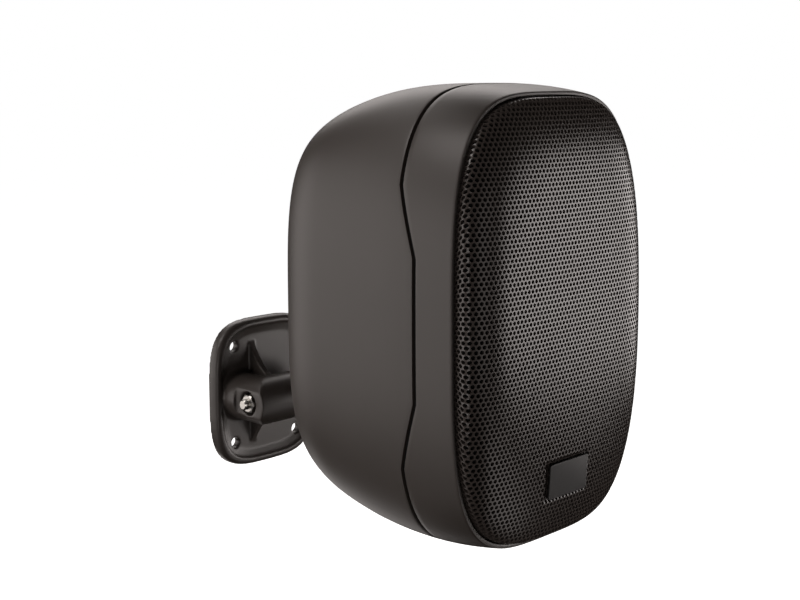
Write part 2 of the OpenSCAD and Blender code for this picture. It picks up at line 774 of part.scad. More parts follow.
module woofer_screws() {
    color(steel) in_cabinet() for (a = woofer_screw_angles)
        translate([0, baffle_d + flange_z, -woofer_drop]) rotate([0, a, 0])
            translate([woofer_pcd_r, 0, 0]) screw(baffle_t - flange_z + 2);
}

// Tweeter, with heights measured from the baffle's front face towards the rear
tweeter_t = 2.5;
tweeter_pcd_r = tweeter_r - 4.5;
tweeter_screw_angles = [90, 210, 330];

module at_tweeter() {
    in_cabinet() translate([0, baffle_d, tweeter_rise]) along_y() children();
}

module tweeter_faceplate() {
    color(black) at_tweeter() difference() {
        rotate_extrude($fn = 96) polygon([[dome_r + 1, 0], [tweeter_r, 0], [tweeter_r, 0.8 - tweeter_t],
            [tweeter_r - 0.8, -tweeter_t], [dome_r + 6, -tweeter_t], [dome_r + 1, -0.8]]);
        for (a = tweeter_screw_angles) rotate([0, 0, a]) translate([tweeter_pcd_r, 0, -tweeter_t - 1])
            cylinder(r = screw_r + screw_fit, h = tweeter_t + 2);
    }
}

module tweeter_dome() {
    base_z = -0.6;
    rise = 5;
    color([0.3, 0.3, 0.32]) at_tweeter() rotate_extrude($fn = 64)
        polygon(concat([for (i = [0:8]) let (r = (dome_r - 1) * i / 8)
                [r, base_z - rise * (1 - pow(r / (dome_r - 1), 2))]],
            [[dome_r + 0.8, base_z], [dome_r + 0.8, 0], [dome_r - 1.6, 0]],
            [for (i = [8:-1:0]) let (r = (dome_r - 1.6) * i / 8)
                [r, base_z + 0.5 - (rise - 0.1) * (1 - pow(r / (dome_r - 1.6), 2))]]));
}

module tweeter_magnet() {
    color([0.3, 0.3, 0.3]) at_tweeter() difference() {
        cylinder(r = tweeter_magnet_r, h = tweeter_magnet_d, $fn = 64);
        translate([0, 0, -1]) cylinder(r = dome_r - 1.6, h = 3, $fn = 64);
    }
}

module tweeter_screws() {
    color(steel) in_cabinet() for (a = tweeter_screw_angles)
        translate([0, baffle_d - tweeter_t, tweeter_rise]) rotate([0, a, 0])
            translate([tweeter_pcd_r, 0, 0]) screw(baffle_t + tweeter_t + 2);
}

// Terminal cup in the rear face
cup_wall = 2;
cup_w = terminal_w - 12;
cup_h = terminal_h - 12;
cup_flange_t = 2.5;
cup_front = cabinet_d + cup_flange_t - terminal_d;
lever_x = 12;
lever_w = 9;
lever_l = 18;
lever_t = 3;
hinge_z = 12;
lever_clear = 1.8;
hinge_y = cup_front + cup_wall + lever_l * sin(lever_travel) + lever_t / 2 + lever_clear;
lever_pin_r = 1.5;
lever_eye_r = 2.8;
pad_t = 1.2;
pad_h = 4;
lug_w = 3;
cup_fit = 0.3;

module at_cup() {
    in_cabinet() translate([0, 0, terminal_rise]) children();
}

module terminal_hole() {
    translate([-cup_w / 2 - cup_fit, cabinet_d - 2 * wall, terminal_rise - cup_h / 2 - cup_fit])
        cube([cup_w + 2 * cup_fit, 4 * wall, cup_h + 2 * cup_fit]);
    for (p = cup_screws) translate([p[0], cabinet_d - 2 * wall, p[1] + terminal_rise])
        screw_hole(4 * wall);
}

cup_screw_in = 4.5;
board_post_in = 5;
board_post_r = 3;
cup_screws = [for (x = [-1, 1]) for (z = [-1, 1])
    [x * (terminal_w / 2 - cup_screw_in), z * (terminal_h / 2 - cup_screw_in)]];
board_posts = [for (x = [-1, 1]) for (z = [-1, 1])
    [x * (cup_w / 2 - board_post_in), z * (cup_h / 2 - board_post_in)]];
board_gap = 7;
lug_h = 7;
lug_out = lever_w / 2 + cup_fit + lug_w / 2;
seat_w = 14;
seat_h = 9;
seat_d = 5;
seat_z = -cup_h / 2 + cup_wall + 1;
wire_hole_r = 2;
slot_w = 1.2;
slot_h = 2;

module terminal_plate() {
    color(black) at_cup() difference() {
        union() {
            translate([-terminal_w / 2, cabinet_d, -terminal_h / 2])
                cube([terminal_w, cup_flange_t, terminal_h]);
            translate([-cup_w / 2, cup_front, -cup_h / 2]) cube([cup_w, terminal_d - 1, cup_h]);
            for (p = board_posts) translate([p[0], cup_front - board_gap, p[1]])
                along_y() cylinder(r = board_post_r, h = board_gap + 1);
        }
        difference() {
            translate([cup_wall - cup_w / 2, cup_front + cup_wall, cup_wall - cup_h / 2])
                cube([cup_w - 2 * cup_wall, terminal_d, cup_h - 2 * cup_wall]);
            for (side = [-1, 1]) translate([side * lever_x, cup_front, 0]) {
                for (edge = [-1, 1])
                    translate([edge * lug_out - lug_w / 2, 0, hinge_z - lug_h / 2])
                        cube([lug_w, hinge_y - cup_front + lug_w, lug_h]);
                translate([-seat_w / 2, 0, seat_z]) cube([seat_w, cup_wall + seat_d, seat_h]);
            }
        }
        for (side = [-1, 1]) translate([side * lever_x, 0, 0]) {
            translate([-lever_w, hinge_y, hinge_z]) along_x()
                cylinder(r = lever_pin_r + bolt_fit, h = 2 * lever_w);
            translate([0, cup_front + cup_wall, seat_z + seat_h / 2])
                along_y() cylinder(r = wire_hole_r, h = terminal_d);
            translate([-slot_w / 2, cup_front - 1, seat_z + seat_h / 2 - slot_h / 2])
                cube([slot_w, cup_wall + 2, slot_h]);
        }
        for (p = cup_screws) translate([p[0], cabinet_d - 1, p[1]]) screw_hole(cup_flange_t + 2);
        for (p = board_posts) translate([p[0], cup_front - board_gap - 1, p[1]])
            along_y() cylinder(r = board_screw_r + screw_fit, h = board_gap);
    }
}

// A lever with its own pin, hanging from the pin and pressed inwards at its lower end
module lever(side) {
    translate([side * lever_x, hinge_y, hinge_z]) {
        translate([-lever_w / 2, -lever_t / 2, -lever_l]) cube([lever_w, lever_t, lever_l]);
        translate([-lever_w / 2, 0, 0]) along_x() cylinder(r = lever_eye_r, h = lever_w);
        translate([-lever_w / 2 - lug_w + 0.5, 0, 0]) along_x()
            cylinder(r = lever_pin_r, h = lever_w + 2 * lug_w - 1);
        translate([-lever_w / 2, lever_t / 2 - eps, 2 - lever_l]) cube([lever_w, pad_t, pad_h]);
    }
}

module lever_red() {
    color([0.7, 0.1, 0.1]) at_cup() lever(-1);
}

module lever_black() {
    color(black) at_cup() lever(1);
}

module terminal_contacts() {
    contact_w = slot_w - 0.4;
    contact_h = slot_h - 0.4;
    low = seat_z + seat_h / 2 - contact_h / 2;
    front = cup_front - board_gap;
    color([0.85, 0.75, 0.45]) at_cup() for (side = [-1, 1])
        translate([side * lever_x - contact_w / 2, front, low])
            cube([contact_w, board_gap + cup_wall - 0.1, contact_h]);
}

module terminal_screws() {
    color(steel) at_cup() for (p = cup_screws) translate([p[0], cabinet_d + cup_flange_t, p[1]])
        rotate([0, 0, 180]) screw(cup_flange_t + wall + 4);
}

// Crossover board behind the terminal cup
board_t = 1.6;
board_y = cup_front - board_gap - board_t;
board_w = cup_w;
board_h = cup_h + 14;
board_screw_r = 1.2;
board_head_r = 2.4;
board_head_h = 1.5;
coil_part_r = 14;
coil_part_h = 12;
coil_cheek_t = 1.5;
coil_core_r = 5;
coil_part_z = 4;
capacitor_r = 5;
capacitor_l = 24;
capacitor_z = -19;
resistor_l = 28;
resistor_t = 6;
resistor_in = 9.5;

module crossover_board() {
    color([0.1, 0.35, 0.2]) at_cup() difference() {
        translate([-board_w / 2, board_y, -board_h / 2]) cube([board_w, board_t, board_h]);
        for (p = board_posts) translate([p[0], board_y - 1, p[1]])
            along_y() cylinder(r = board_screw_r + screw_fit, h = board_t + 2);
    }
}

module crossover_coil() {
    color([0.75, 0.4, 0.2]) at_cup() translate([0, board_y, coil_part_z]) rotate([90, 0, 0])
        difference() {
            union() {
                cylinder(r = coil_part_r - 1, h = coil_part_h);
                for (z = [0, coil_part_h - coil_cheek_t])
                    translate([0, 0, z]) cylinder(r = coil_part_r, h = coil_cheek_t);
            }
            translate([0, 0, -1]) cylinder(r = coil_core_r, h = coil_part_h + 2);
        }
}

module crossover_capacitor() {
    color([0.15, 0.15, 0.5]) at_cup()
        translate([-capacitor_l / 2, board_y - capacitor_r, capacitor_z])
            along_x() cylinder(r = capacitor_r, h = capacitor_l);
}

module crossover_resistor() {
    color([0.9, 0.88, 0.8]) at_cup()
        translate([-resistor_l / 2, board_y - resistor_t, board_h / 2 - resistor_in])
            cube([resistor_l, resistor_t, resistor_t]);
}

module board_screws() {
    color(steel) at_cup() for (p = board_posts) translate([p[0], board_y, p[1]]) along_y() {
        cylinder(r = board_screw_r, h = board_t + board_gap - 2);
        translate([0, 0, -board_head_h]) cylinder(r = board_head_r, h = board_head_h);
    }
}

module cabinet_screws() {
    color(steel) in_cabinet() for (p = cabinet_posts)
        translate([p[0], baffle_d, p[1]]) screw(post_end - baffle_d - screw_spare);
}

// Wadding in the top of the cabinet, between the posts and the board
pad_gap = 1.5;

module damping_pad() {
    color([0.85, 0.85, 0.82]) in_cabinet() intersection() {
        body_form(wall + 0.4);
        translate([-cabinet_w / 2, post_end + pad_gap, tweeter_rise + 8])
            cube([cabinet_w, board_y - post_end - 2 * pad_gap, cabinet_h]);
    }
}

// A lead on a smooth curve towards the front, straight along -Y at both ends
function bezier(a, b, c, d, t) = pow(1 - t, 3) * a + 3 * pow(1 - t, 2) * t * b
    + 3 * (1 - t) * t * t * c + t * t * t * d;
function unit(v) = v / norm(v);
lead_r = 1.1;

module lead(a, b, c, d) {
    steps = 16;
    side = [1, 0, 0];
    function way(t) = unit(bezier(a, b, c, d, t + 0.01) - bezier(a, b, c, d, t - 0.01));
    loft([for (i = [0:steps])
        let (t = i / steps, p = bezier(a, b, c, d, t),
            dir = i == 0 || i == steps ? [0, -1, 0] : way(t),
            up = unit(cross(dir, side)), out = unit(cross(up, dir)))
        [for (k = [0:7]) p + lead_r * (cos(90 + 45 * k) * out + sin(90 + 45 * k) * up)]]);
}

// Small strip on the basket's neck where the woofer's leads end
tag_x = -magnet_r - 3.5;
tag_z = basket_d - 1;
tag_w = 10;
tag_t = 3;
tag_end = 3;
lead_pitch = 3.5;
woofer_lead_x = -19;
tweeter_lead_x = -9;

module woofer_tags() {
    color([0.55, 0.4, 0.2]) at_woofer() difference() {
        translate([tag_x - tag_end, -tag_w / 2, tag_z - tag_t])
            cube([-tag_x - basket_neck_r + tag_end + 1, tag_w, tag_t]);
        cylinder(r = basket_neck_r, h = basket_d, $fn = 96);
    }
}

module woofer_leads() {
    color([0.6, 0.1, 0.1]) in_cabinet() for (i = [0, 1]) {
        x = woofer_lead_x + lead_pitch * i;
        z = terminal_rise - board_h / 2 + 3;
        z_end = -woofer_drop + 2 - 4 * i;
        y_end = baffle_d + tag_z;
        lead([x, board_y, z], [x, board_y - 25, z - 5], [tag_x, y_end + 50, z_end],
            [tag_x, y_end, z_end]);
    }
}

module tweeter_leads() {
    z = terminal_rise + board_h / 2 - 1.5;
    y_end = baffle_d + tweeter_magnet_d;
    color([0.1, 0.1, 0.6]) in_cabinet() for (x = [tweeter_lead_x, tweeter_lead_x + lead_pitch])
        lead([x, board_y, z], [x, board_y - 20, z + 4.5], [x, y_end + 25, tweeter_rise],
            [x, y_end, tweeter_rise]);
}

rear_cabinet();
front_baffle();
seam_gasket();
grille();
grille_scrim();
badge_plate();
wall_plate();
tilt_bolt();
tilt_nut();
tilt_washer();
swivel_arm();
pan_bushes();
pan_bolt();
pan_nut();
swivel_base();
swivel_base_screws();
woofer_basket();
woofer_gasket();
woofer_cone();
woofer_surround();
dust_cap();
spider();
voice_coil();
front_pole_plate();
woofer_magnet();
pole_piece();
woofer_screws();
tweeter_faceplate();
tweeter_dome();
tweeter_magnet();
tweeter_screws();
crossover_board();
crossover_coil();
crossover_capacitor();
crossover_resistor();
board_screws();
terminal_plate();
lever_red();
lever_black();
terminal_contacts();
terminal_screws();
cabinet_screws();
damping_pad();
woofer_leads();
tweeter_leads();
woofer_tags();
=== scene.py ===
"""Looks of a two-way wall speaker on a tilt and swivel bracket.

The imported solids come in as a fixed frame. The moulded shells, the perforated grille, the castings,
the terminal levers and the fasteners are modelled here in their places, and every solid that stays
visible gets the finish of the real piece. Sizes are in metres, but a finish's grain and relief are in
millimetres.
"""
import json
import logging
import math
from dataclasses import dataclass
from enum import Enum
from typing import Callable, Iterable, Sequence

import bpy
import numpy as np
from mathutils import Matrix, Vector


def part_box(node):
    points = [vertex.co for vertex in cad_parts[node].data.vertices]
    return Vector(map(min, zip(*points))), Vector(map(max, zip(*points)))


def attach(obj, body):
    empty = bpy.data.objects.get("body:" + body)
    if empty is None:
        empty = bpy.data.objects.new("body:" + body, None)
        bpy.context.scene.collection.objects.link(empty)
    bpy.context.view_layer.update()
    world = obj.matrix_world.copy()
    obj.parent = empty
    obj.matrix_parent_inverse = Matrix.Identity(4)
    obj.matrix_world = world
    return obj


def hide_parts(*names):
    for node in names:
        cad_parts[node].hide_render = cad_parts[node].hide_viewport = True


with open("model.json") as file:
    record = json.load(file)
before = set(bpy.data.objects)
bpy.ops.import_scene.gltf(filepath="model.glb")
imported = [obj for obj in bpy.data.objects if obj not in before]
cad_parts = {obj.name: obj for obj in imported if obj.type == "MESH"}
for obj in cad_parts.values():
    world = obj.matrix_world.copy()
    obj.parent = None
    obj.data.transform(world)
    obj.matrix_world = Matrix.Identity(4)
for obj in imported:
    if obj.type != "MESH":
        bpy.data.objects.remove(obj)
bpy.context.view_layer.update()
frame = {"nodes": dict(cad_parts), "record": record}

MM = 0.001
LOG = logging.getLogger("wall_speaker")

Piece = bpy.types.Object
Points = np.ndarray
Place = Callable[[Points, int], Points]


class Axis(Enum):
    """Direction that a turned piece runs along."""

    X = 0
    Y = 1
    Z = 2


class Texture(Enum):
    """Fine relief of a surface, as its making leaves it."""

    SPARK = "spark eroded mould grain"
    PEEL = "orange peel of sprayed powder"
    BRUSHED = "parallel brush lines"
    WOVEN = "crossed threads"
    WOUND = "turns of wire"
    FIBRES = "pressed fibres"
    SMOOTH = "polished mould"


# Finishes

# Soft patches of colour to a metre
PATCH_SCALE = 28.0
BUMP_STRENGTH = 0.6
# Brush marks run along X, 25 times as long as wide
BRUSH_SCALE = (0.04, 1.0, 1.0)


def srgb(hex_colour: str) -> tuple[float, float, float, float]:
    """Turns an sRGB hex value to linear colour.

    Args:
        hex_colour: Six hex digits, with or without a leading mark.

    Returns:
        Linear red, green, blue and an alpha of one.
    """
    digits = hex_colour.lstrip("#")
    parts = [int(digits[i:i + 2], 16) / 255 for i in (0, 2, 4)]
    linear = [c / 12.92 if c <= 0.04045 else ((c + 0.055) / 1.055) ** 2.4 for c in parts]
    return (*linear, 1.0)


def add_node(tree: bpy.types.NodeTree, kind: str, links: dict | None = None,
             values: dict | None = None, **options: object) -> bpy.types.Node:
    """Adds one node with its settings and links.

    Args:
        tree: Node tree that gets the node.
        kind: Blender's name of the node type.
        links: Output socket for each input, by the input's name or number.
        values: Constant for each input, by the input's name or number.
        **options: Properties of the node itself.

    Returns:
        The new node.
    """
    node = tree.nodes.new(kind)
    for name, value in options.items():
        setattr(node, name, value)
    for key, value in (values or {}).items():
        node.inputs[key].default_value = value
    for key, socket in (links or {}).items():
        tree.links.new(socket, node.inputs[key])
    return node


@dataclass(frozen=True)
class Finish:
    """A real material and the way its surface was made.

    Attributes:
        name: Name of the material.
        base: Main colour.
        second: Colour that it drifts to in soft patches.
        roughness: Mean roughness.
        spread: How far the roughness wanders either way.
        texture: Kind of fine relief.
        grain: Size of the relief's features in millimetres.
        relief: Depth of the relief in millimetres.
        metallic: One for bare metal.
        ior: Index of refraction, left alone on metals.
        sheen: Weight of the soft edge glow of cloth.
        coat: Weight of a clear lacquer.
    """

    name: str
    base: str
    second: str
    roughness: float
    spread: float
    texture: Texture
    grain: float
    relief: float
    metallic: float = 0.0
    ior: float = 1.5
    sheen: float = 0.0
    coat: float = 0.0

    def height(self, tree: bpy.types.NodeTree, place: bpy.types.NodeSocket) -> bpy.types.NodeSocket:
        """Adds the nodes of the relief.

        Args:
            tree: Node tree of the material.
            place: Object coordinates.

        Returns:
            Socket with the relief's height from 0 to 1.
        """
        scale = 1 / (self.grain * MM)
        if self.texture is Texture.WOVEN:
            bands = [add_node(tree, "ShaderNodeTexWave", {"Vector": place},
                              {"Scale": scale / 2, "Distortion": 0.6},
                              wave_type="BANDS", bands_direction=way).outputs["Fac"] for way in ("X", "Z")]
            return add_node(tree, "ShaderNodeMath", dict(enumerate(bands)), operation="MAXIMUM").outputs[0]
        if self.texture is Texture.WOUND:
            return add_node(tree, "ShaderNodeTexWave", {"Vector": place},
                            {"Scale": scale / 2, "Distortion": 0.2},
                            wave_type="BANDS", bands_direction="Y").outputs["Fac"]
        if self.texture is Texture.BRUSHED:
            stretched = add_node(tree, "ShaderNodeMapping", {"Vector": place}, {"Scale": BRUSH_SCALE})
            return add_node(tree, "ShaderNodeTexNoise", {"Vector": stretched.outputs[0]},
                            {"Scale": scale, "Detail": 3.0}).outputs["Fac"]
        if self.texture is Texture.FIBRES:
            return add_node(tree, "ShaderNodeTexNoise", {"Vector": place},
                            {"Scale": scale, "Detail": 5.0, "Distortion": 2.5}).outputs["Fac"]
        detail = {Texture.SPARK: 4.0, Texture.PEEL: 1.5, Texture.SMOOTH: 0.0}[self.texture]
        return add_node(tree, "ShaderNodeTexNoise", {"Vector": place},
                        {"Scale": scale, "Detail": detail, "Roughness": 0.6}).outputs["Fac"]

    def make(self) -> bpy.types.Material:
        """Builds the procedural material, with every pattern on Object coordinates."""
        material = bpy.data.materials.new(self.name)
        material.use_nodes = True
        tree = material.node_tree
        shader = tree.nodes["Principled BSDF"]
        shader.inputs["Metallic"].default_value = self.metallic
        shader.inputs["IOR"].default_value = self.ior
        shader.inputs["Sheen Weight"].default_value = self.sheen
        shader.inputs["Coat Weight"].default_value = self.coat
        place = add_node(tree, "ShaderNodeTexCoord").outputs["Object"]
        height = self.height(tree, place)
        patches = add_node(tree, "ShaderNodeTexNoise", {"Vector": place},
                           {"Scale": PATCH_SCALE, "Detail": 2.0})
        blend = add_node(tree, "ShaderNodeMath", {0: patches.outputs["Fac"], 1: height},
                         operation="MULTIPLY")
        colour = add_node(tree, "ShaderNodeMix", {"Factor": blend.outputs[0]},
                          {"A": srgb(self.base), "B": srgb(self.second)}, data_type="RGBA")
        for socket in (s for s in colour.outputs if s.type == "RGBA"):
            tree.links.new(socket, shader.inputs["Base Color"])
        rough = add_node(tree, "ShaderNodeMapRange", {"Value": height},
                         {"To Min": self.roughness - self.spread, "To Max": self.roughness + self.spread})
        tree.links.new(rough.outputs[0], shader.inputs["Roughness"])
        bump = add_node(tree, "ShaderNodeBump", {"Height": height},
                        {"Strength": BUMP_STRENGTH, "Distance": self.relief * MM})
        tree.links.new(bump.outputs[0], shader.inputs["Normal"])
        return material


# ABS, moulded in a spark eroded tool: a fine matt grain with a soft wide highlight
CABINET_ABS = Finish("abs_cabinet", "#38332f", "#403a36", 0.44, 0.05, Texture.SPARK, 0.45, 0.02,
                     ior=1.53)
# Perforated steel with polyester powder: a little lighter, and smooth between the holes
GRILLE_STEEL = Finish("powder_coated_steel", "#413b38", "#4a4440", 0.28, 0.05, Texture.PEEL, 0.9,
                      0.01)
# Cast alloy under the same powder: slightly uneven, as castings are
BRACKET_CAST = Finish("powder_coated_casting", "#36312e", "#3e3935", 0.4, 0.06, Texture.PEEL,
                      0.7, 0.03)
# Anodised sheet: dark and satin, with faint brush lines
BADGE_SHEET = Finish("anodised_badge", "#151312", "#191716", 0.6, 0.05, Texture.BRUSHED, 0.12,
                     0.004)
# EPDM foam: black and matt
SEAL_RUBBER = Finish("epdm_seal", "#0b0b0b", "#121212", 0.85, 0.05, Texture.SPARK, 0.5, 0.03)
# Butyl rubber: smooth and soft in its gloss
SURROUND_RUBBER = Finish("butyl_surround", "#131313", "#191919", 0.5, 0.06, Texture.SMOOTH, 3, 0.01)
# Acoustic cloth behind the holes: it swallows nearly all light
SCRIM_CLOTH = Finish("acoustic_cloth", "#020202", "#040404", 0.98, 0.03, Texture.WOVEN, 0.35, 0.05)
# Zinc plated steel: pale, bright and slightly streaked
ZINC_STEEL = Finish("zinc_plated_steel", "#c9c7c2", "#aeaca8", 0.3, 0.08, Texture.BRUSHED, 0.25,
                    0.006, metallic=1.0)
# Blacked steel: dark oxide with an oily gloss
BLACK_STEEL = Finish("blacked_steel", "#1d1d1e", "#262628", 0.42, 0.08, Texture.PEEL, 0.3, 0.01,
                     metallic=0.8)
# Glass filled nylon: black with a fine grain
BLACK_NYLON = Finish("glass_filled_nylon", "#161616", "#1d1d1d", 0.5, 0.06, Texture.SPARK, 0.35,
                     0.015)
# Natural nylon: milky and waxy
BUSH_NYLON = Finish("natural_nylon", "#cbc6b6", "#d6d1c2", 0.4, 0.05, Texture.SMOOTH, 2, 0.01,
                    ior=1.53)
# Enamelled pressed steel
BASKET_STEEL = Finish("enamelled_steel", "#151516", "#1b1b1c", 0.35, 0.06, Texture.PEEL, 0.6, 0.01)
# Pressed paper pulp with a coating: fibres show
CONE_PAPER = Finish("coated_pulp", "#1c1c1e", "#252527", 0.7, 0.06, Texture.FIBRES, 1.2, 0.05)
# Varnished cotton
SPIDER_CLOTH = Finish("varnished_cotton", "#b9924c", "#c7a25e", 0.75, 0.08, Texture.WOVEN, 0.6,
                      0.08, sheen=0.2)
# Coated silk
DOME_SILK = Finish("coated_silk", "#333336", "#3b3b3f", 0.55, 0.05, Texture.WOVEN, 0.3, 0.02,
                   sheen=0.3)
# Enamelled copper wire, turn beside turn
COPPER_WIRE = Finish("enamelled_copper", "#b4632f", "#c97a45", 0.3, 0.08, Texture.WOUND, 0.6,
                     0.1, metallic=1.0)
# Sintered ferrite
FERRITE = Finish("sintered_ferrite", "#35363a", "#3f4044", 0.6, 0.08, Texture.SPARK, 0.8, 0.02)
# Glass epoxy board with solder mask
BOARD_EPOXY = Finish("glass_epoxy", "#124a26", "#185c31", 0.35, 0.05, Texture.WOVEN, 0.8, 0.01,
                     coat=0.3)
# Wrapped film capacitor
FILM_WRAP = Finish("polyester_wrap", "#1b2a66", "#22347a", 0.25, 0.04, Texture.SMOOTH, 2, 0.01)
# Cement resistor body
CEMENT = Finish("cement_ceramic", "#dcd8cc", "#cbc7bb", 0.8, 0.05, Texture.SPARK, 0.9, 0.04)
# Glossy moulded lever
RED_ABS = Finish("red_abs", "#a51616", "#b01c1b", 0.28, 0.04, Texture.SMOOTH, 1.5, 0.005, ior=1.53)
# Tinned brass
CONTACT_BRASS = Finish("tinned_brass", "#d9c07a", "#cbb26c", 0.28, 0.07, Texture.BRUSHED, 0.2,
                       0.005, metallic=1.0)
# Polyester wadding
WADDING = Finish("polyester_wadding", "#d8d8d2", "#e6e6e1", 0.95, 0.03, Texture.FIBRES, 2.5, 0.8,
                 sheen=0.4)
# Soft insulation
RED_PVC = Finish("red_pvc", "#a01818", "#ab2020", 0.45, 0.05, Texture.SMOOTH, 1, 0.01)
BLUE_PVC = Finish("blue_pvc", "#1c2f8c", "#233a9e", 0.45, 0.05, Texture.SMOOTH, 1, 0.01)

# Finish of each slot in the record
SLOT_FINISH = {
    "cabinet_abs": CABINET_ABS, "grille_steel": GRILLE_STEEL, "bracket_cast": BRACKET_CAST,
    "badge_plastic": BADGE_SHEET, "seal_rubber": SEAL_RUBBER, "surround_rubber": SURROUND_RUBBER,
    "scrim_cloth": SCRIM_CLOTH, "zinc_steel": ZINC_STEEL, "black_screws": BLACK_STEEL,
    "black_plastic": BLACK_NYLON, "nylon": BUSH_NYLON, "basket_steel": BASKET_STEEL,
    "cone_paper": CONE_PAPER, "spider_cloth": SPIDER_CLOTH, "dome_silk": DOME_SILK,
    "copper": COPPER_WIRE, "ferrite": FERRITE, "circuit_board": BOARD_EPOXY,
    "capacitor_film": FILM_WRAP, "resistor_ceramic": CEMENT, "red_plastic": RED_ABS,
    "contact_brass": CONTACT_BRASS, "wadding": WADDING, "lead_red": RED_PVC, "lead_blue": BLUE_PVC,
}


class Wardrobe:
    """Makes each finish once and hands it out."""

    def __init__(self) -> None:
        """Starts with no material made."""
        self.made: dict[str, bpy.types.Material] = {}

    def of(self, slot: str) -> bpy.types.Material:
        """Gives the material of one of the record's slots."""
        if slot not in self.made:
            self.made[slot] = SLOT_FINISH[slot].make()
        return self.made[slot]


WARDROBE = Wardrobe()


# Modelling by hand


def deselect() -> None:
    """Leaves edit mode and selects nothing."""
    if bpy.context.object and bpy.context.object.mode == "EDIT":
        bpy.ops.object.mode_set(mode="OBJECT")
    bpy.ops.object.select_all(action="DESELECT")


def pick(obj: Piece) -> Piece:
    """Selects one object alone and makes it active."""
    deselect()
    obj.select_set(True)
    bpy.context.view_layer.objects.active = obj
    return obj


def apply_place(obj: Piece) -> Piece:
    """Puts the object's place into its mesh, so that it sits at the origin."""
    pick(obj)
    bpy.ops.object.transform_apply(location=True, rotation=True, scale=True)
    return obj


def read_points(obj: Piece) -> Points:
    """Gives the mesh's points as an array of rows."""
    flat = np.zeros(len(obj.data.vertices) * 3)
    obj.data.vertices.foreach_get("co", flat)
    return flat.reshape(-1, 3)


def write_points(obj: Piece, points: Points) -> None:
    """Moves the mesh's points to the rows of an array."""
    obj.data.vertices.foreach_set("co", points.astype(float).ravel())
    obj.data.update()


def clean(obj: Piece, outwards: bool = True, reach: float = 1e-6) -> Piece:
    """Merges doubled points and turns the faces outwards.

    Args:
        obj: Mesh object.
        outwards: Whether the normals are worked out anew.
        reach: Distance under which points are one.

    Returns:
        The same object.
    """
    pick(obj)
    bpy.ops.object.mode_set(mode="EDIT")
    bpy.ops.mesh.select_all(action="SELECT")
    bpy.ops.mesh.remove_doubles(threshold=reach)
    bpy.ops.mesh.dissolve_degenerate(threshold=reach)
    if outwards:
        bpy.ops.mesh.normals_make_consistent(inside=False)
    bpy.ops.object.mode_set(mode="OBJECT")
    return obj


def modify(obj: Piece, kind: str, **settings: object) -> Piece:
    """Adds a modifier and applies it at once.

    Args:
        obj: Mesh object.
        kind: Type of the modifier.
        **settings: Its properties.

    Returns:
        The same object.
    """
    pick(obj)
    modifier = obj.modifiers.new(kind.lower(), kind)
    for name, value in settings.items():
        setattr(modifier, name, value)
    bpy.ops.object.modifier_apply(modifier=modifier.name)
    return obj


def soften(obj: Piece, width: float, segments: int = 2, angle: float = 40.0) -> Piece:
    """Rounds every edge sharper than an angle in degrees."""
    return modify(obj, "BEVEL", width=width, segments=segments, limit_method="ANGLE",
                  angle_limit=math.radians(angle), harden_normals=False)


def shade(obj: Piece, angle: float = 35.0) -> Piece:
    """Shades smooth, with edges over the angle in degrees kept sharp."""
    pick(obj)
    bpy.ops.object.shade_smooth_by_angle(angle=math.radians(angle))
    return obj


def join(pieces: Sequence[Piece], name: str) -> Piece:
    """Joins several meshes to one object with that name."""
    deselect()
    for piece in pieces:
        piece.select_set(True)
    bpy.context.view_layer.objects.active = pieces[0]
    bpy.ops.object.join()
    pieces[0].name = name
    return pieces[0]


def cut(obj: Piece, tools: Iterable[Piece], operation: str = "DIFFERENCE") -> Piece:
    """Cuts tool shapes out of a piece and deletes the tools."""
    for tool in tools:
        modify(obj, "BOOLEAN", object=tool, operation=operation, solver="EXACT")
        bpy.data.objects.remove(tool)
    return obj


def drum(name: str, axis: Axis, centre: Sequence[float], radius: float, start: float, end: float,
         sides: int = 48) -> Piece:
    """Adds a round bar.

    Args:
        name: Name of the object.
        axis: Direction of the bar.
        centre: A point on its axis.
        radius: Its radius.
        start: Place of the first end along the axis.
        end: Place of the other end.
        sides: Faces round it.

    Returns:
        The bar, with its place in its mesh.
    """
    deselect()
    middle = list(centre)
    middle[axis.value] = (start + end) / 2
    turn = {Axis.X: (0, math.pi / 2, 0), Axis.Y: (-math.pi / 2, 0, 0), Axis.Z: (0, 0, 0)}[axis]
    bpy.ops.mesh.primitive_cone_add(vertices=sides, radius1=radius, radius2=radius, depth=end - start,
                                    location=middle, rotation=turn)
    obj = apply_place(bpy.context.object)
    obj.name = name
    return obj


def block(name: str, low: Sequence[float], high: Sequence[float]) -> Piece:
    """Adds a box between two corners."""
    deselect()
    size = [h - l for l, h in zip(low, high)]
    middle = [(l + h) / 2 for l, h in zip(low, high)]
    bpy.ops.mesh.primitive_cube_add(size=1, location=middle, scale=size)
    obj = apply_place(bpy.context.object)
    obj.name = name
    return obj


def wrap(name: str, columns: int, rows: int, place: Place) -> Piece:
    """Wraps a grid round a closed form.

    Args:
        name: Name of the object.
        columns: Faces round the form.
        rows: Faces along it.
        place: Gives the points of one row from their share of a turn and the row's number.

    Returns:
        The closed or open form, merged and turned outwards.
    """
    deselect()
    bpy.ops.mesh.primitive_grid_add(x_subdivisions=columns, y_subdivisions=rows, size=2)
    obj = bpy.context.object
    obj.name = name
    flat = read_points(obj)
    turn = np.rint((flat[:, 0] + 1) / 2 * columns) / columns
    row = np.rint((flat[:, 1] + 1) / 2 * rows).astype(int)
    points = np.zeros_like(flat)
    for number in range(rows + 1):
        chosen = row == number
        points[chosen] = place(turn[chosen], number)
    write_points(obj, points)
    return clean(obj)


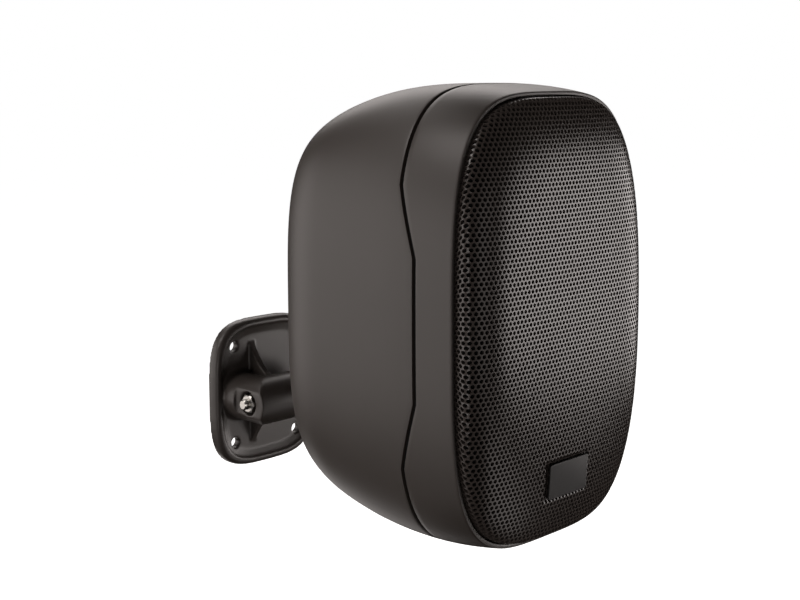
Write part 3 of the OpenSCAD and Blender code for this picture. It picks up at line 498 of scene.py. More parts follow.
def lathe(name: str, axis: Axis, centre: Sequence[float], profile: Sequence[tuple[float, float]],
          sides: int = 64) -> Piece:
    """Turns a profile round an axis.

    Args:
        name: Name of the object.
        axis: Axis of the turning.
        centre: A point on the axis.
        profile: Radius and place along the axis of each point.
        sides: Faces round it.

    Returns:
        The turned piece.
    """
    around = [k for k in (0, 1, 2) if k != axis.value]

    def place(turn: Points, row: int) -> Points:
        radius, along = profile[row]
        points = np.zeros((len(turn), 3))
        points[:, around[0]] = centre[around[0]] + radius * np.cos(2 * math.pi * turn)
        points[:, around[1]] = centre[around[1]] + radius * np.sin(2 * math.pi * turn)
        points[:, axis.value] = along
        return points

    return wrap(name, sides, len(profile) - 1, place)


def copy_of(node: str, name: str) -> Piece:
    """Copies a solid's mesh to a new object, with its loose triangles merged."""
    source = frame["nodes"][node]
    obj = bpy.data.objects.new(name, source.data.copy())
    bpy.context.scene.collection.objects.link(obj)
    obj.data.materials.clear()
    return clean(obj, outwards=False, reach=1e-5)


def hand_over(obj: Piece, body: str, slot: str, *nodes: str) -> Piece:
    """Dresses a finished piece, lets it ride and reports it.

    Args:
        obj: Finished piece.
        body: Body that it moves with.
        slot: The record's slot that its finish comes from.
        *nodes: Solids that it stands for.

    Returns:
        The same object.
    """
    obj.data.materials.clear()
    obj.data.materials.append(WARDROBE.of(slot))
    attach(obj, body)
    if nodes:
        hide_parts(*nodes)
    LOG.info("%s: %d faces, rides on %s", obj.name, len(obj.data.polygons), body)
    return obj


# Cabinet


@dataclass(frozen=True)
class Station:
    """One ring of points along a shell.

    Attributes:
        depth: Depth behind the front ring.
        inset: How far it lies inside the cabinet's outer form.
        scale: Share of its full size, zero at a closed middle.
        follow: How far it follows the step of the seam.
        size: Half width and half height, where it doesn't follow the outer form.
    """

    depth: float
    inset: float = 0.0
    scale: float = 1.0
    follow: float = 0.0
    size: tuple[float, float] | None = None


@dataclass(frozen=True)
class CabinetForm:
    """Outer form of the cabinet, with depths counted from the front ring towards the wall."""

    front_y: float
    middle_z: float
    width: float = 141 * MM
    height: float = 220 * MM
    depth: float = 129 * MM
    ring_in_w: float = 3.5 * MM
    ring_in_h: float = 4 * MM
    squareness: float = 3.6
    flare_d: float = 40 * MM
    rear_taper: float = 26 * MM
    taper_power: float = 2.2
    side_round_d: float = 42 * MM
    side_round_w: float = 31 * MM
    end_round: float = 10 * MM
    wall: float = 3.5 * MM
    seam_mid: float = 20.5 * MM
    seam_end: float = 30.5 * MM
    step_start: float = 33.5 * MM
    step_stop: float = 65.5 * MM
    seam_gap: float = 2 * MM
    lip: float = 1.8 * MM
    baffle_d: float = 10 * MM
    baffle_t: float = 5 * MM

    @property
    def ring(self) -> tuple[float, float]:
        """Half width and half height of the front ring."""
        return self.width / 2 - self.ring_in_w, self.height / 2 - self.ring_in_h

    @property
    def pocket(self) -> tuple[float, float]:
        """Half sizes of the pocket that holds the grille."""
        return self.ring[0] - self.lip, self.ring[1] - self.lip

    @property
    def inner(self) -> tuple[float, float]:
        """Half sizes of the cabinet's inside just behind the baffle."""
        behind = np.array(self.baffle_d + self.baffle_t)
        return float(self.half_w(behind) - self.wall), float(self.half_h(behind) - self.wall)

    def flare(self, depth: Points) -> Points:
        """Share of the ring's step that is left at a depth."""
        return np.maximum(0, 1 - depth / self.flare_d) ** 2

    def round_off(self, depth: Points, length: float) -> Points:
        """Share of a rear rounding that is reached at a depth."""
        share = np.clip((depth - self.depth + length) / length, 0, 1)
        return 1 - np.sqrt(1 - share ** 2)

    def half_w(self, depth: Points) -> Points:
        """Half width at a depth."""
        rounding = self.side_round_w * self.round_off(depth, self.side_round_d)
        return self.width / 2 - self.ring_in_w * self.flare(depth) - rounding

    def half_h(self, depth: Points) -> Points:
        """Half height at a depth."""
        taper = np.maximum(0, (depth - self.flare_d) / (self.depth - self.flare_d)) ** self.taper_power
        return (self.height / 2 - self.ring_in_h * self.flare(depth) - self.rear_taper * taper
                - self.end_round * self.round_off(depth, self.end_round))

    def outline(self, turn: Points) -> tuple[Points, Points]:
        """Points of the squared ellipse of half sizes one, spread evenly by direction."""
        across, up = np.cos(2 * math.pi * turn), np.sin(2 * math.pi * turn)
        power = self.squareness
        reach = (np.abs(across) ** power + np.abs(up) ** power) ** (-1 / power)
        return across * reach, up * reach

    def seam_step(self, z: Points) -> Points:
        """How far the seam lies behind its middle at a height."""
        share = (np.abs(z) - self.step_start) / (self.step_stop - self.step_start)
        return (self.seam_end - self.seam_mid) * np.clip(share, 0, 1)

    def points(self, turn: Points, station: Station) -> Points:
        """Gives a station's points in the part's frame.

        Args:
            turn: Share of a full turn of each point.
            station: The ring's depth and form.

        Returns:
            One row of coordinates for each point.
        """
        across, up = self.outline(turn)
        depth = station.depth + station.follow * self.seam_step(up * self.height / 2)
        half_w, half_h = station.size or (self.half_w(depth) - station.inset,
                                          self.half_h(depth) - station.inset)
        return np.stack([half_w * across * station.scale, self.front_y + depth,
                         self.middle_z + half_h * up * station.scale], axis=1)

    def shell(self, name: str, stations: Sequence[Station], columns: int = 192) -> Piece:
        """Wraps a shell through its stations."""
        return wrap(name, columns, len(stations) - 1, lambda turn, row: self.points(turn, stations[row]))


@dataclass(frozen=True)
class CabinetShells:
    """The two mouldings, the seal in the groove between them and the posts of their screws."""

    form: CabinetForm
    edge_round: float = 0.45 * MM
    seal_inset: float = 1.6 * MM
    woofer_z: float = -36 * MM
    woofer_cut: float = 46 * MM
    tweeter_z: float = 58 * MM
    tweeter_cut: float = 19 * MM
    blend_end: float = 55 * MM
    post_radius: float = 4.2 * MM
    post_bore: float = 2 * MM
    post_end: float = 60.5 * MM
    post_floor: float = 4 * MM
    corner_in_x: float = 22 * MM
    corner_in_z: float = 20.5 * MM
    side_in_x: float = 8 * MM
    side_z: float = 20 * MM
    hole_reach: tuple[float, float] = (5 * MM, 20 * MM)
    cup_gap: float = 0.3 * MM
    cup_half: float = 24 * MM
    cup_before: float = 12 * MM
    cup_behind: float = 5 * MM

    def rear_stations(self) -> list[Station]:
        """Stations of the rear moulding, from the seam to the middle of its rear face."""
        form = self.form
        first = form.seam_mid + form.seam_gap / 2
        near_seam = [Station(first + (self.blend_end - first) * s, follow=(1 - s) ** 2)
                     for s in np.linspace(0, 1, 10)]
        straight_end = form.depth - form.side_round_d
        depths = list(np.linspace(self.blend_end, straight_end, 9)[1:])
        for length, count in ((form.side_round_d, 16), (form.end_round, 9)):
            depths += [form.depth - length * (1 - math.sin(a))
                       for a in np.linspace(0, math.pi / 2, count)]
        depths = sorted({round(d, 5) for d in depths})
        face = [Station(form.depth, scale=s) for s in (0.98, 0.9, 0.75, 0.5, 0.25, 0)]
        return near_seam + [Station(d) for d in depths] + face

    def rear(self) -> Piece:
        """Models the rear moulding with its wall and the opening for the terminals."""
        obj = self.form.shell("rear_moulding", self.rear_stations())
        modify(obj, "SOLIDIFY", thickness=self.form.wall, offset=-1, use_even_offset=True)
        soften(obj, self.edge_round, angle=60)
        low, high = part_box("terminal_plate")
        rim = (high.x - low.x) / 2 - self.cup_half
        opening = block("cup_opening",
                        (low.x + rim - self.cup_gap, high.y - self.cup_before, low.z + rim - self.cup_gap),
                        (high.x - rim + self.cup_gap, high.y + self.cup_behind, high.z - rim + self.cup_gap))
        return shade(cut(obj, [opening]))

    def front_stations(self) -> list[Station]:
        """Stations of the front moulding, from the baffle's face round the ring and seam to its back."""
        form = self.form
        before = form.seam_mid - form.seam_gap / 2
        behind = form.baffle_d + form.baffle_t
        face = [Station(form.baffle_d, scale=s, size=form.pocket) for s in (0, 0.3, 0.6, 0.9, 1)]
        lip = [Station(form.baffle_d / 2, size=form.pocket), Station(0, size=form.pocket),
               Station(0, size=form.ring)]
        side = [Station(before * s, follow=s ** 2) for s in np.linspace(0, 1, 14)[1:]]
        inside = [Station(before, follow=1, size=form.inner), Station(behind, size=form.inner)]
        back = [Station(behind, scale=s, size=form.inner) for s in (0.9, 0.6, 0.3, 0)]
        return face + lip + side + inside + back

    def front(self) -> Piece:
        """Models the front moulding with the two openings of its baffle."""
        obj = soften(self.form.shell("front_moulding", self.front_stations()), self.edge_round, angle=50)
        start, end = (self.form.front_y + reach for reach in self.hole_reach)
        holes = [drum("driver_hole", Axis.Y, (0, 0, self.form.middle_z + z), r, start, end, sides=96)
                 for z, r in ((self.woofer_z, self.woofer_cut), (self.tweeter_z, self.tweeter_cut))]
        return shade(cut(obj, holes))

    def seal(self) -> Piece:
        """Models the seal that closes the groove."""
        form = self.form
        edges = [form.seam_mid - form.seam_gap / 2, form.seam_mid + form.seam_gap / 2]
        outer = [Station(d, inset=self.seal_inset, follow=1) for d in edges]
        inner = [Station(d, follow=1, size=form.inner) for d in reversed(edges)]
        return shade(form.shell("groove_seal", outer + inner + outer[:1]))

    def posts(self) -> Piece:
        """Models the six screw posts inside the rear moulding."""
        form = self.form
        start = form.front_y + form.baffle_d + form.baffle_t
        end = form.front_y + self.post_end
        corner_x, corner_z = form.ring[0] - self.corner_in_x, form.ring[1] - self.corner_in_z
        side_x = form.ring[0] - self.side_in_x
        places = []
        for side in (-1, 1):
            places += [(side * corner_x, corner_z), (side * side_x, self.side_z),
                       (side * corner_x, -corner_z)]
        tubes = []
        for x, z in places:
            centre = (x, 0, form.middle_z + z)
            tube = drum("post", Axis.Y, centre, self.post_radius, start, end, sides=32)
            bore = drum("bore", Axis.Y, centre, self.post_bore, start - MM, end - self.post_floor,
                        sides=24)
            tubes.append(cut(tube, [bore]))
        return shade(join(tubes, "screw_posts"))

    def build(self) -> None:
        """Models and dresses all of it."""
        hand_over(self.rear(), "cabinet", "cabinet_abs", "rear_cabinet")
        hand_over(self.front(), "cabinet", "cabinet_abs", "front_baffle")
        hand_over(self.seal(), "cabinet", "seal_rubber", "seam_gasket")
        hand_over(self.posts(), "cabinet", "cabinet_abs", "rear_cabinet")


# Grille


@dataclass(frozen=True)
class Grille:
    """Perforated sheet, pressed to a crowned face and bent back round its edge."""

    form: CabinetForm
    gap: float = 0.7 * MM
    thickness: float = 1.2 * MM
    bulge: float = 13 * MM
    shoulder: float = 5.7 * MM
    crown_x: float = 0.26
    crown_z: float = 0.18
    crown_corner: float = 100.0
    pitch: float = 2.47 * MM
    hole_share: float = 0.77
    hole_sides: int = 12
    blank_spare: float = 14 * MM
    weld: float = 0.02 * MM
    bend: float = 2.2 * MM
    holes_end: float = 2.5 * MM
    skirt_lap: float = 1.5 * MM
    skirt_in: float = 0.03 * MM
    badge_w: float = 28.5 * MM
    badge_h: float = 17 * MM
    badge_t: float = 1.2 * MM
    badge_corner: float = 1.1 * MM
    badge_edge: float = 0.22 * MM
    badge_z: float = -74 * MM
    badge_gap: float = 0.15 * MM
    seat_depth: float = 0.9 * MM
    seat_margin: float = 0.5 * MM
    seat_slope: float = 0.9 * MM

    @property
    def half(self) -> tuple[float, float]:
        """Half width and half height of the sheet."""
        return self.form.pocket[0] - self.gap, self.form.pocket[1] - self.gap

    def face(self, x: Points, z: Points, rho: Points) -> Points:
        """Depth of the crowned face behind the ring, negative in front of it."""
        return (self.crown_x * x ** 2 + self.crown_z * z ** 2 + self.crown_corner * x ** 2 * z ** 2
                + self.shoulder * rho ** 8 - self.bulge)

    def seat(self, x: Points, z: Points) -> Points:
        """Depth of the shallow seat that the badge lies in."""
        over = np.maximum(np.abs(x) - self.badge_w / 2, np.abs(z - self.badge_z) - self.badge_h / 2)
        share = 1 - np.clip((over - self.seat_margin) / self.seat_slope, 0, 1)
        return self.seat_depth * share * share * (3 - 2 * share)

    def press(self, flat: Points) -> Points:
        """Moves points of the flat blank to the pressed sheet.

        Args:
            flat: Points of the blank in X and Y.

        Returns:
            The same points on the sheet's outer face, in the part's frame.
        """
        n = self.form.squareness
        half_w, half_h = self.half
        x, z = flat[:, 0], flat[:, 1]
        rho = np.maximum((np.abs(x / half_w) ** n + np.abs(z / half_h) ** n) ** (1 / n), 1e-6)
        slope = np.hypot(np.abs(x / half_w / rho) ** (n - 1) / half_w,
                         np.abs(z / half_h / rho) ** (n - 1) / half_h)
        inward = (1 - rho) / slope
        turned = np.clip((self.bend - inward) / self.bend, 0, math.pi / 2)
        past = np.maximum(0, self.bend * (1 - math.pi / 2) - inward)
        kept = np.where(inward > self.bend, inward, self.bend * (1 - np.sin(turned)))
        drop = self.bend * (1 - np.cos(turned)) + past
        new_rho = 1 - kept * slope
        x, z = x * new_rho / rho, z * new_rho / rho
        depth = self.face(x, z, new_rho) + drop + self.seat(x, z)
        return np.stack([x, self.form.front_y + depth, self.form.middle_z + z], axis=1)

    def tile(self) -> Piece:
        """Models the six sided tile round one hole, flat and open."""
        deselect()
        corner = self.pitch / math.sqrt(3)
        bpy.ops.mesh.primitive_circle_add(vertices=6, radius=corner, fill_type="NOTHING")
        obj = bpy.context.object
        bpy.ops.object.mode_set(mode="EDIT")
        hole = self.pitch * self.hole_share / 2
        bpy.ops.mesh.primitive_circle_add(vertices=self.hole_sides, radius=hole, fill_type="NOTHING")
        bpy.ops.mesh.select_all(action="SELECT")
        bpy.ops.mesh.bridge_edge_loops()
        bpy.ops.mesh.normals_make_consistent(inside=False)
        bpy.ops.object.mode_set(mode="OBJECT")
        if obj.data.polygons[0].normal.z < 0:
            obj.data.flip_normals()
        return obj

    def blank(self) -> Piece:
        """Repeats the tile to a flat blank that is wider than the sheet."""
        row_step = self.pitch * math.sqrt(3) / 2
        reach = [h + self.blank_spare for h in self.half]
        columns = 2 * math.ceil(reach[0] / self.pitch)
        rows = 2 * math.ceil(reach[1] / (2 * row_step))
        second = self.tile()
        second.location = (self.pitch / 2, row_step, 0)
        apply_place(second)
        pair = join([self.tile(), second], "blank")
        pair.location = (-columns / 2 * self.pitch, -rows * row_step, 0)
        apply_place(pair)
        merge = {"use_merge_vertices": True, "merge_threshold": self.weld, "use_relative_offset": False,
                 "use_constant_offset": True}
        modify(pair, "ARRAY", count=columns, constant_offset_displace=(self.pitch, 0, 0), **merge)
        modify(pair, "ARRAY", count=rows, constant_offset_displace=(0, 2 * row_step, 0), **merge)
        return clean(pair, outwards=False, reach=self.weld)

    def half_sheet(self, blank: Piece, name: str, side: int) -> Piece:
        """Presses the upper or the lower half of the sheet out of a copy of the blank.

        Args:
            blank: The flat perforated blank.
            name: Name of the half.
            side: One for the upper half, minus one for the lower.

        Returns:
            The half with its thickness.
        """
        obj = bpy.data.objects.new(name, blank.data.copy())
        bpy.context.scene.collection.objects.link(obj)
        flat = read_points(obj)
        pressed = self.press(flat)
        centres = np.zeros(len(obj.data.polygons) * 3)
        obj.data.polygons.foreach_get("center", centres)
        centres = centres.reshape(-1, 3)
        tile_row = np.rint(centres[:, 1] / (self.pitch * math.sqrt(3) / 2))
        reach = self.press(centres)[:, 1] - self.form.front_y
        drop = (reach > self.holes_end) | ((tile_row > 0) != (side > 0))
        write_points(obj, pressed)
        pick(obj)
        bpy.ops.object.mode_set(mode="EDIT")
        bpy.ops.mesh.select_all(action="DESELECT")
        bpy.ops.object.mode_set(mode="OBJECT")
        obj.data.polygons.foreach_set("select", drop)
        bpy.ops.object.mode_set(mode="EDIT")
        bpy.ops.mesh.select_mode(type="FACE")
        bpy.ops.mesh.delete(type="FACE")
        bpy.ops.object.mode_set(mode="OBJECT")
        modify(obj, "SOLIDIFY", thickness=self.thickness, offset=-1)
        return shade(obj, angle=50)

    def skirt(self) -> Piece:
        """Models the plain strip at the sheet's edge, which stands on the baffle."""
        outer = tuple(h - self.skirt_in for h in self.half)
        inner = tuple(h - self.thickness for h in self.half)
        ends = (self.holes_end - self.skirt_lap, self.form.baffle_d)
        stations = [Station(d, size=outer) for d in ends]
        stations += [Station(d, size=inner) for d in reversed(ends)]
        return shade(self.form.shell("grille_skirt", stations + stations[:1]))

    def badge(self) -> Piece:
        """Models the bare badge plate, leaning with the face behind it."""
        edge = [self.badge_z + s * self.badge_h / 2 for s in (1, -1)]
        top_y, low_y = (float(self.face(0, z, abs(z) / self.half[1])) for z in edge)
        deselect()
        bpy.ops.mesh.primitive_plane_add(size=1)
        obj = bpy.context.object
        obj.name = "badge"
        obj.scale = (self.badge_w, self.badge_h, 1)
        apply_place(obj)
        bpy.ops.object.mode_set(mode="EDIT")
        bpy.ops.mesh.bevel(offset=self.badge_corner, segments=5, affect="VERTICES")
        bpy.ops.mesh.extrude_region_move(TRANSFORM_OT_translate={"value": (0, 0, self.badge_t)})
        bpy.ops.object.mode_set(mode="OBJECT")
        clean(obj)
        soften(obj, self.badge_edge, segments=3)
        lean = math.atan((low_y - top_y) / self.badge_h)
        obj.rotation_euler = (math.pi / 2 + lean, 0, 0)
        obj.location = (0, self.form.front_y + (top_y + low_y) / 2 - self.badge_gap,
                        self.form.middle_z + self.badge_z)
        return shade(apply_place(obj))

    def build(self) -> None:
        """Models and dresses the sheet and the badge."""
        blank = self.blank()
        halves = [self.half_sheet(blank, name, side)
                  for name, side in (("grille_upper", 1), ("grille_lower", -1))]
        bpy.data.objects.remove(blank)
        for piece in halves + [self.skirt()]:
            hand_over(piece, "cabinet", "grille_steel", "grille")
        hand_over(self.badge(), "cabinet", "badge_plastic", "badge_plate")


# Bracket


@dataclass(frozen=True)
class Castings:
    """The three cast pieces of the bracket, with the soft fillets that a mould gives."""

    voxel: float = 0.6 * MM
    passes: int = 7
    bolt_bore: float = 3.05 * MM
    recess: float = 6.7 * MM
    recess_d: float = 5 * MM
    recess_spare: float = 3 * MM
    bore_end: float = 4 * MM
    wall_hole: float = 3.1 * MM
    hole_x: float = 23 * MM
    hole_z: float = 28.5 * MM
    hole_reach: tuple[float, float] = (-12 * MM, 4 * MM)

    def fuse(self, node: str, name: str) -> Piece:
        """Gives a copy of a solid the fillets of a casting.

        Args:
            node: Solid to copy.
            name: Name of the new piece.

        Returns:
            The casting, before its bores are cut again.
        """
        obj = copy_of(node, name)
        modify(obj, "REMESH", mode="VOXEL", voxel_size=self.voxel, use_smooth_shade=True)
        return modify(obj, "SMOOTH", factor=0.5, iterations=self.passes)

    def build(self) -> None:
        """Models and dresses the three castings."""
        plate = self.fuse("wall_plate", "wall_plate_casting")
        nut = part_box("tilt_nut")
        axis_at = (nut[0] + nut[1]) / 2
        face_x = nut[1].x - self.recess_d
        tools = [drum("hole", Axis.Y, (sx * self.hole_x, 0, sz * self.hole_z), self.wall_hole,
                      *self.hole_reach)
                 for sx in (-1, 1) for sz in (-1, 1)]
        tools.append(drum("recess", Axis.X, axis_at, self.recess, face_x - self.recess_spare, nut[1].x))
        tools.append(drum("bore", Axis.X, axis_at, self.bolt_bore, nut[1].x - MM, self.bore_end))
        hand_over(shade(cut(plate, tools), angle=45), "bracket", "bracket_cast", "wall_plate")
        for node, body in (("swivel_arm", "arm"), ("swivel_base", "cabinet")):
            hand_over(shade(self.fuse(node, node + "_casting"), angle=60), body, "bracket_cast", node)


@dataclass(frozen=True)
class PanHead:
    """Sizes of a pan head screw.

    Attributes:
        head_r: Radius of the head.
        shank_r: Radius of the thread.
        head_h: Height of the head.
        drive: Width of the cross recess.
    """

    head_r: float
    shank_r: float
    head_h: float
    drive: float


BODY_SCREW = PanHead(3.6 * MM, 1.9 * MM, 2.2 * MM, 0.9 * MM)
BOARD_SCREW = PanHead(2.4 * MM, 1.2 * MM, 1.5 * MM, 0.6 * MM)


@dataclass(frozen=True)
class Fasteners:
    """Bolts, nuts and screws, each with its own drive and thread."""

    thread_pitch: float = 1 * MM
    thread_depth: float = 0.35 * MM
    bolt_r: float = 3 * MM
    hex_r: float = 5.6 * MM
    hex_h: float = 4 * MM
    chamfer_h: float = 0.9 * MM
    chamfer_slope: float = 1.6
    chamfer_in: float = 1.2 * MM
    flange_r: float = 6.3 * MM
    flange_t: float = 1.4 * MM
    flange_edge: float = 0.5 * MM
    flange_lap: float = 1.15
    flange_in: float = 0.4 * MM
    bore_fit: float = 0.05 * MM
    screw_pitch: float = 0.8 * MM
    screw_depth: float = 0.3 * MM
    dome_power: float = 0.6
    dome_turn: tuple[float, float] = (0.2, 1.45)
    cross_depth: float = 0.55
    cross_reach: float = 0.5

    def thread(self, name: str, axis: Axis, centre: Sequence[float], start: float, end: float,
               radius: float, pitch: float, depth: float) -> Piece:
        """Models a threaded bar with a chamfered end.

        Args:
            name: Name of the object.
            axis: Direction of the bar.
            centre: A point on its axis.
            start: Place of its free, chamfered end.
            end: Place of its other end.
            radius: Outer radius of the thread.
            pitch: Distance from crest to crest.
            depth: Height of a crest over its root.

        Returns:
            The closed bar.
        """
        way = 1 if end > start else -1
        turns = max(1, int(abs(end - start) / pitch) - 1)
        profile = [(0.0, start), (radius - 2 * depth, start)]
        for turn in range(turns):
            crest = start + way * pitch * (turn + 0.75)
            profile += [(radius, crest), (radius - depth, crest + way * pitch / 2)]
        profile += [(radius, end), (0.0, end)]
        return lathe(name, axis, centre, profile, sides=32)

    def hexagon(self, name: str, axis: Axis, centre: Sequence[float], start: float,
                end: float) -> Piece:
        """Models a hexagon with chamfered corners, its flat seat at start."""
        obj = drum(name, axis, centre, self.hex_r, min(start, end), max(start, end), sides=6)
        chamfer = self.chamfer_h if end > start else -self.chamfer_h
        profile = [(0.0, start), (self.hex_r + MM, start),
                   (self.hex_r + MM, end - chamfer * self.chamfer_slope),
                   (self.hex_r - self.chamfer_in, end), (0.0, end)]
        return cut(obj, [lathe("chamfer", axis, centre, profile)], operation="INTERSECT")

    def flange(self, name: str, axis: Axis, centre: Sequence[float], start: float, way: int) -> Piece:
        """Models the round flange under a hexagon."""
        top = start + way * self.flange_t * self.flange_lap
        profile = [(0.0, start), (self.flange_r, start), (self.flange_r, start + way * self.flange_edge),
                   (self.hex_r - self.flange_in, top), (0.0, top)]
        return lathe(name, axis, centre, profile)

    def bolt(self, node: str, axis: Axis) -> Piece:
        """Models a flange bolt in the place of its solid, whose head is at the far end of its axis."""
        low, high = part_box(node)
        centre = (low + high) / 2
        start, end = low[axis.value], high[axis.value]
        seat = end - self.flange_t - self.hex_h
        parts = [self.thread("shank", axis, centre, start, seat, self.bolt_r, self.thread_pitch,
                             self.thread_depth),
                 self.flange("flange", axis, centre, seat, 1),
                 self.hexagon("head", axis, centre, seat + self.flange_t, end)]
        return shade(join(parts, node + "_threaded"), angle=30)

    def nut(self, node: str, axis: Axis) -> Piece:
        """Models a flange nut in the place of its solid, whose flange is at the far end of its axis."""
        low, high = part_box(node)
        centre = (low + high) / 2
        start, end = high[axis.value], low[axis.value]
        parts = [self.flange("flange", axis, centre, start, -1),
                 self.hexagon("hexagon", axis, centre, start - self.flange_t, end)]
        body = join(parts, node + "_flanged")
        bore = drum("bore", axis, centre, self.bolt_r + self.bore_fit, end - MM, start + MM, sides=32)
        return shade(cut(body, [bore]), angle=30)

    def screws(self, node: str, size: PanHead) -> Piece:
        """Models a group of pan head screws in the places of their solids.

        Args:
            node: Solid that holds the group.
            size: Sizes of each screw.

        Returns:
            All screws of the group as one object.
        """
        parts = []
        half, reach = size.drive / 2, size.head_r * self.cross_reach
        for low, high, head_way in self.islands(node, size.head_r):
            centre = (low + high) / 2
            face, tip = (low.y, high.y) if head_way < 0 else (high.y, low.y)
            seat = face - head_way * size.head_h
            parts.append(self.thread("thread", Axis.Y, centre, tip, seat, size.shank_r, self.screw_pitch,
                                     self.screw_depth))
            dome = [(0.0, seat), (size.head_r, seat)]
            dome += [(size.head_r * math.cos(a) ** self.dome_power, seat + (face - seat) * math.sin(a))
                     for a in np.linspace(*self.dome_turn, 6)]
            head = lathe("head", Axis.Y, centre, dome + [(0.0, face)], sides=40)
            depth = head_way * size.head_h * self.cross_depth
            ends = sorted((face - depth, face + head_way * MM))
            arms = [block("arm", (centre.x - w, ends[0], centre.z - h),
                          (centre.x + w, ends[1], centre.z + h))
                    for w, h in ((half, reach), (reach, half))]
            parts.append(cut(head, arms))
        return shade(join(parts, node + "_cross"), angle=30)

    def islands(self, node: str, head_r: float) -> list[tuple[Vector, Vector, int]]:
        """Finds each separate solid of a node.

        Args:
            node: Solid group.
            head_r: Radius of a head, which tells the head's end from the tip.

        Returns:
            Lowest and highest corner of each, and minus one where its head looks to the front.
        """
        obj = copy_of(node, "islands")
        pick(obj)
        bpy.ops.mesh.separate(type="LOOSE")
        found = []
        for piece in list(bpy.context.selected_objects):
            points = read_points(piece)
            low, high = Vector(points.min(0)), Vector(points.max(0))
            reach = np.hypot(points[:, 0] - (low.x + high.x) / 2, points[:, 2] - (low.z + high.z) / 2)
            wide = points[reach > 0.9 * head_r, 1].mean()
            found.append((low, high, -1 if wide < (low.y + high.y) / 2 else 1))
            bpy.data.objects.remove(piece)
        return sorted(found, key=lambda f: (round(f[0].z, 4), round(f[0].x, 4)))

    def build(self) -> None:
        """Models and dresses every fastener."""
        hand_over(self.bolt("tilt_bolt", Axis.X), "bracket", "zinc_steel", "tilt_bolt")
        hand_over(self.nut("tilt_nut", Axis.X), "bracket", "zinc_steel", "tilt_nut")
        hand_over(self.bolt("pan_bolt", Axis.Z), "cabinet", "zinc_steel", "pan_bolt")
        hand_over(self.nut("pan_nut", Axis.Z), "cabinet", "zinc_steel", "pan_nut")
        for node in ("swivel_base_screws", "terminal_screws", "cabinet_screws", "woofer_screws",
                     "tweeter_screws"):
            hand_over(self.screws(node, BODY_SCREW), "cabinet", "black_screws", node)
        hand_over(self.screws("board_screws", BOARD_SCREW), "cabinet", "zinc_steel", "board_screws")


@dataclass(frozen=True)
class Terminals:
    """The cup in the rear face and its two sprung levers."""

    edge: float = 0.4 * MM
    lever_edge: float = 0.5 * MM
    ribs: int = 4
    rib_pitch: float = 1.7 * MM
    rib_r: float = 0.45 * MM
    rib_in: float = 3.2 * MM
    rib_sink: float = 0.1 * MM
    first_rib: float = 2.2 * MM
    pad_h: float = 3 * MM
    pad_step: float = 1.2 * MM
    flat_angle: float = math.radians(1)

    def cup(self) -> Piece:
        """Models the cup with the soft edges of a moulding."""
        obj = copy_of("terminal_plate", "terminal_cup")
        modify(obj, "DECIMATE", decimate_type="DISSOLVE", angle_limit=self.flat_angle)
        return shade(soften(obj, self.edge, angle=50))

    def lever(self, node: str) -> Piece:
        """Models a lever with finger ribs across its lower end."""
        obj = copy_of(node, node + "_ribbed")
        modify(obj, "DECIMATE", decimate_type="DISSOLVE", angle_limit=self.flat_angle)
        soften(obj, self.lever_edge, angle=50)
        low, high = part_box(node)
        ribs = []
        for k in range(self.ribs):
            z = low.z + self.first_rib + k * self.rib_pitch
            y = high.y if k * self.rib_pitch < self.pad_h else high.y - self.pad_step
            ribs.append(drum("rib", Axis.X, (0, y - self.rib_sink, z), self.rib_r, low.x + self.rib_in,
                             high.x - self.rib_in, sides=16))
        return shade(join([obj] + ribs, obj.name))

    def build(self) -> None:
        """Models and dresses the cup and the levers."""
        hand_over(self.cup(), "cabinet", "black_plastic", "terminal_plate")
        hand_over(self.lever("lever_red"), "red_lever", "red_plastic", "lever_red")
        hand_over(self.lever("lever_black"), "black_lever", "black_plastic", "lever_black")


class Interior:
    """Solids that keep their own mesh: each gets its finish."""

    def build(self) -> None:
        """Dresses every solid by the record's slot, shown or not."""
        slots = {part["node"]: part["material_slot"] for part in frame["record"]["subparts"]}
        for name, obj in frame["nodes"].items():
            material = WARDROBE.of(slots[name])
            if not obj.data.materials:
                obj.data.materials.append(material)
            for number in range(len(obj.data.materials)):
                obj.data.materials[number] = material
            LOG.info("%s: dressed as %s", name, material.name)


# Studio

LIGHT_TINT = "#fff8f5"
LIGHT_DISTANCE = 1.9


@dataclass(frozen=True)
class Softbox:
    """A rectangular light that looks at the object.

    Attributes:
        name: Name of the light.
        azimuth: Direction from the object in degrees, 0 in front of it and 90 on its right.
        elevation: Height of that direction in degrees.
        size: Width and height in metres.
        power: Power in watts.
    """

    name: str
    azimuth: float
    elevation: float
    size: tuple[float, float]
    power: float

    def build(self, aim: Vector) -> None:
        """Adds the light, turned towards a point."""
        data = bpy.data.lights.new(self.name, "AREA")
        data.shape = "RECTANGLE"
        data.size, data.size_y = self.size
        data.energy = self.power
        data.color = srgb(LIGHT_TINT)[:3]
        obj = bpy.data.objects.new(self.name, data)
        bpy.context.scene.collection.objects.link(obj)
        turn = math.radians(self.azimuth)
        rise = math.radians(self.elevation)
        away = Vector((math.sin(turn) * math.cos(rise), -math.cos(turn) * math.cos(rise), math.sin(rise)))
        obj.location = aim + away * LIGHT_DISTANCE
        obj.rotation_euler = away.to_track_quat("Z", "Y").to_euler()


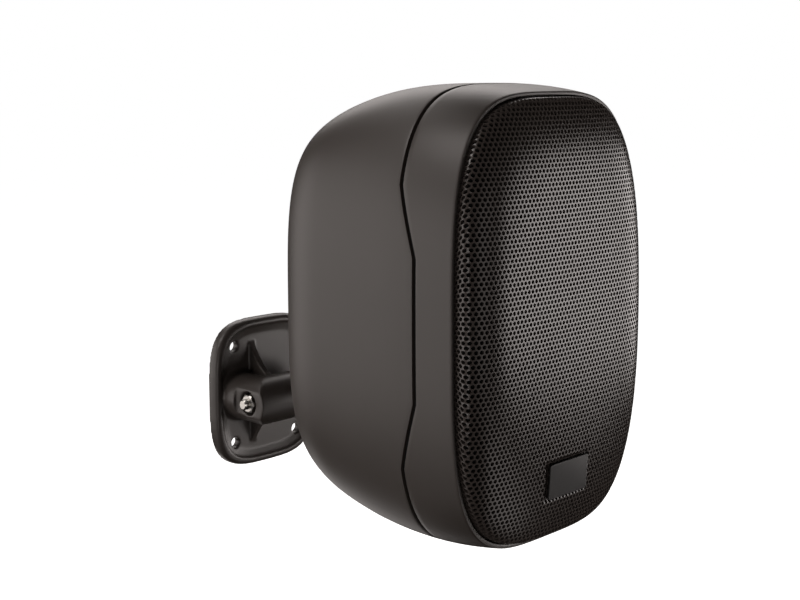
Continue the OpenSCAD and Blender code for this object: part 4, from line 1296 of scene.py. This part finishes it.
SOFTBOXES = (
    Softbox("front_right", 48, -5, (0.8, 0.7), 9.5),
    Softbox("right", 74, -4, (0.8, 0.7), 8),
    Softbox("front", 8, -4, (0.7, 0.8), 1.5),
    Softbox("front_low", 30, -34, (0.8, 0.8), 3),
    Softbox("camera_side", -55, -8, (0.6, 0.8), 5),
    Softbox("left", -108, -5, (1.0, 1.0), 7.5),
    Softbox("left_low", -115, -40, (1.0, 0.8), 1.2),
    Softbox("left_rear", -150, 0, (1.6, 1.2), 10.5),
    Softbox("left_high", -112, 41, (0.8, 0.8), 10.5),
    Softbox("rear_high", -170, 50, (0.8, 0.8), 2.5),
    Softbox("rear_low", 165, -40, (1.0, 0.8), 3),
    Softbox("right_rear", 142, 33, (1.4, 0.9), 11),
)


@dataclass(frozen=True)
class Studio:
    """Pale floor, soft light and the camera of the photograph."""

    azimuth: float = -44.0057
    pitch: float = 5.9069
    roll: float = -0.0062
    focal_px: float = 1286.03
    image_w: float = 800.0
    image_h: float = 600.0
    centre_px: tuple[float, float] = (378.706, 212.719)
    camera_at: tuple[float, float, float] = (-0.47172, -0.59095, 0.18184)
    floor_z: float = -0.45
    floor_size: float = 60.0
    floor_colour: str = "#f7f7f6"
    floor_roughness: float = 0.9
    floor_glow: float = 1.0
    aim: tuple[float, float, float] = (0.0, -0.15, 0.07)

    def camera(self) -> None:
        """Places the camera, with its own axes from the view's angles."""
        a, e = math.radians(self.azimuth), math.radians(self.pitch)
        back = Vector((math.sin(a) * math.cos(e), -math.cos(a) * math.cos(e), math.sin(e)))
        right = Vector((math.cos(a), math.sin(a), 0))
        up = back.cross(right)
        turned_right = right * math.cos(self.roll) + up * math.sin(self.roll)
        turned_up = up * math.cos(self.roll) - right * math.sin(self.roll)
        data = bpy.data.cameras.new("camera")
        data.lens = self.focal_px / self.image_w * data.sensor_width
        data.shift_x = 0.5 - self.centre_px[0] / self.image_w
        data.shift_y = (self.centre_px[1] - self.image_h / 2) / self.image_w
        obj = bpy.data.objects.new("camera", data)
        bpy.context.scene.collection.objects.link(obj)
        for column, axis in enumerate((turned_right, turned_up, back)):
            for row in range(3):
                obj.matrix_world[row][column] = axis[row]
        obj.matrix_world.translation = self.camera_at
        bpy.context.scene.camera = obj

    def floor(self) -> None:
        """Adds the pale floor."""
        deselect()
        bpy.ops.mesh.primitive_plane_add(size=self.floor_size, location=(0, 0, self.floor_z))
        obj = bpy.context.object
        obj.name = "floor"
        material = bpy.data.materials.new("pale_floor")
        material.use_nodes = True
        shader = material.node_tree.nodes["Principled BSDF"]
        shader.inputs["Base Color"].default_value = srgb(self.floor_colour)
        shader.inputs["Roughness"].default_value = self.floor_roughness
        shader.inputs["Emission Color"].default_value = srgb("#ffffff")
        shader.inputs["Emission Strength"].default_value = self.floor_glow
        obj.data.materials.append(material)
        obj.visible_diffuse = obj.visible_glossy = obj.visible_shadow = False

    def world(self) -> None:
        """Sets the white backdrop, which the camera sees and the object doesn't."""
        world = bpy.data.worlds.new("studio")
        world.use_nodes = True
        background = world.node_tree.nodes["Background"]
        background.inputs["Color"].default_value = (1, 1, 1, 1)
        background.inputs["Strength"].default_value = 1.0
        world.cycles_visibility.diffuse = False
        world.cycles_visibility.glossy = False
        bpy.context.scene.world = world
        bpy.context.scene.view_settings.view_transform = "Standard"

    def build(self) -> None:
        """Sets up camera, floor and light."""
        self.camera()
        self.floor()
        self.world()
        for softbox in SOFTBOXES:
            softbox.build(Vector(self.aim))
        LOG.info("studio is set")


def main() -> None:
    """Builds the speaker's looks."""
    logging.basicConfig(level=logging.INFO, format="%(name)s %(message)s")
    Studio().build()
    low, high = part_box("front_baffle")
    form = CabinetForm(front_y=low.y, middle_z=(low.z + high.z) / 2)
    CabinetShells(form).build()
    Grille(form).build()
    Castings().build()
    Fasteners().build()
    Terminals().build()
    Interior().build()


if __name__ == "__main__":
    main()
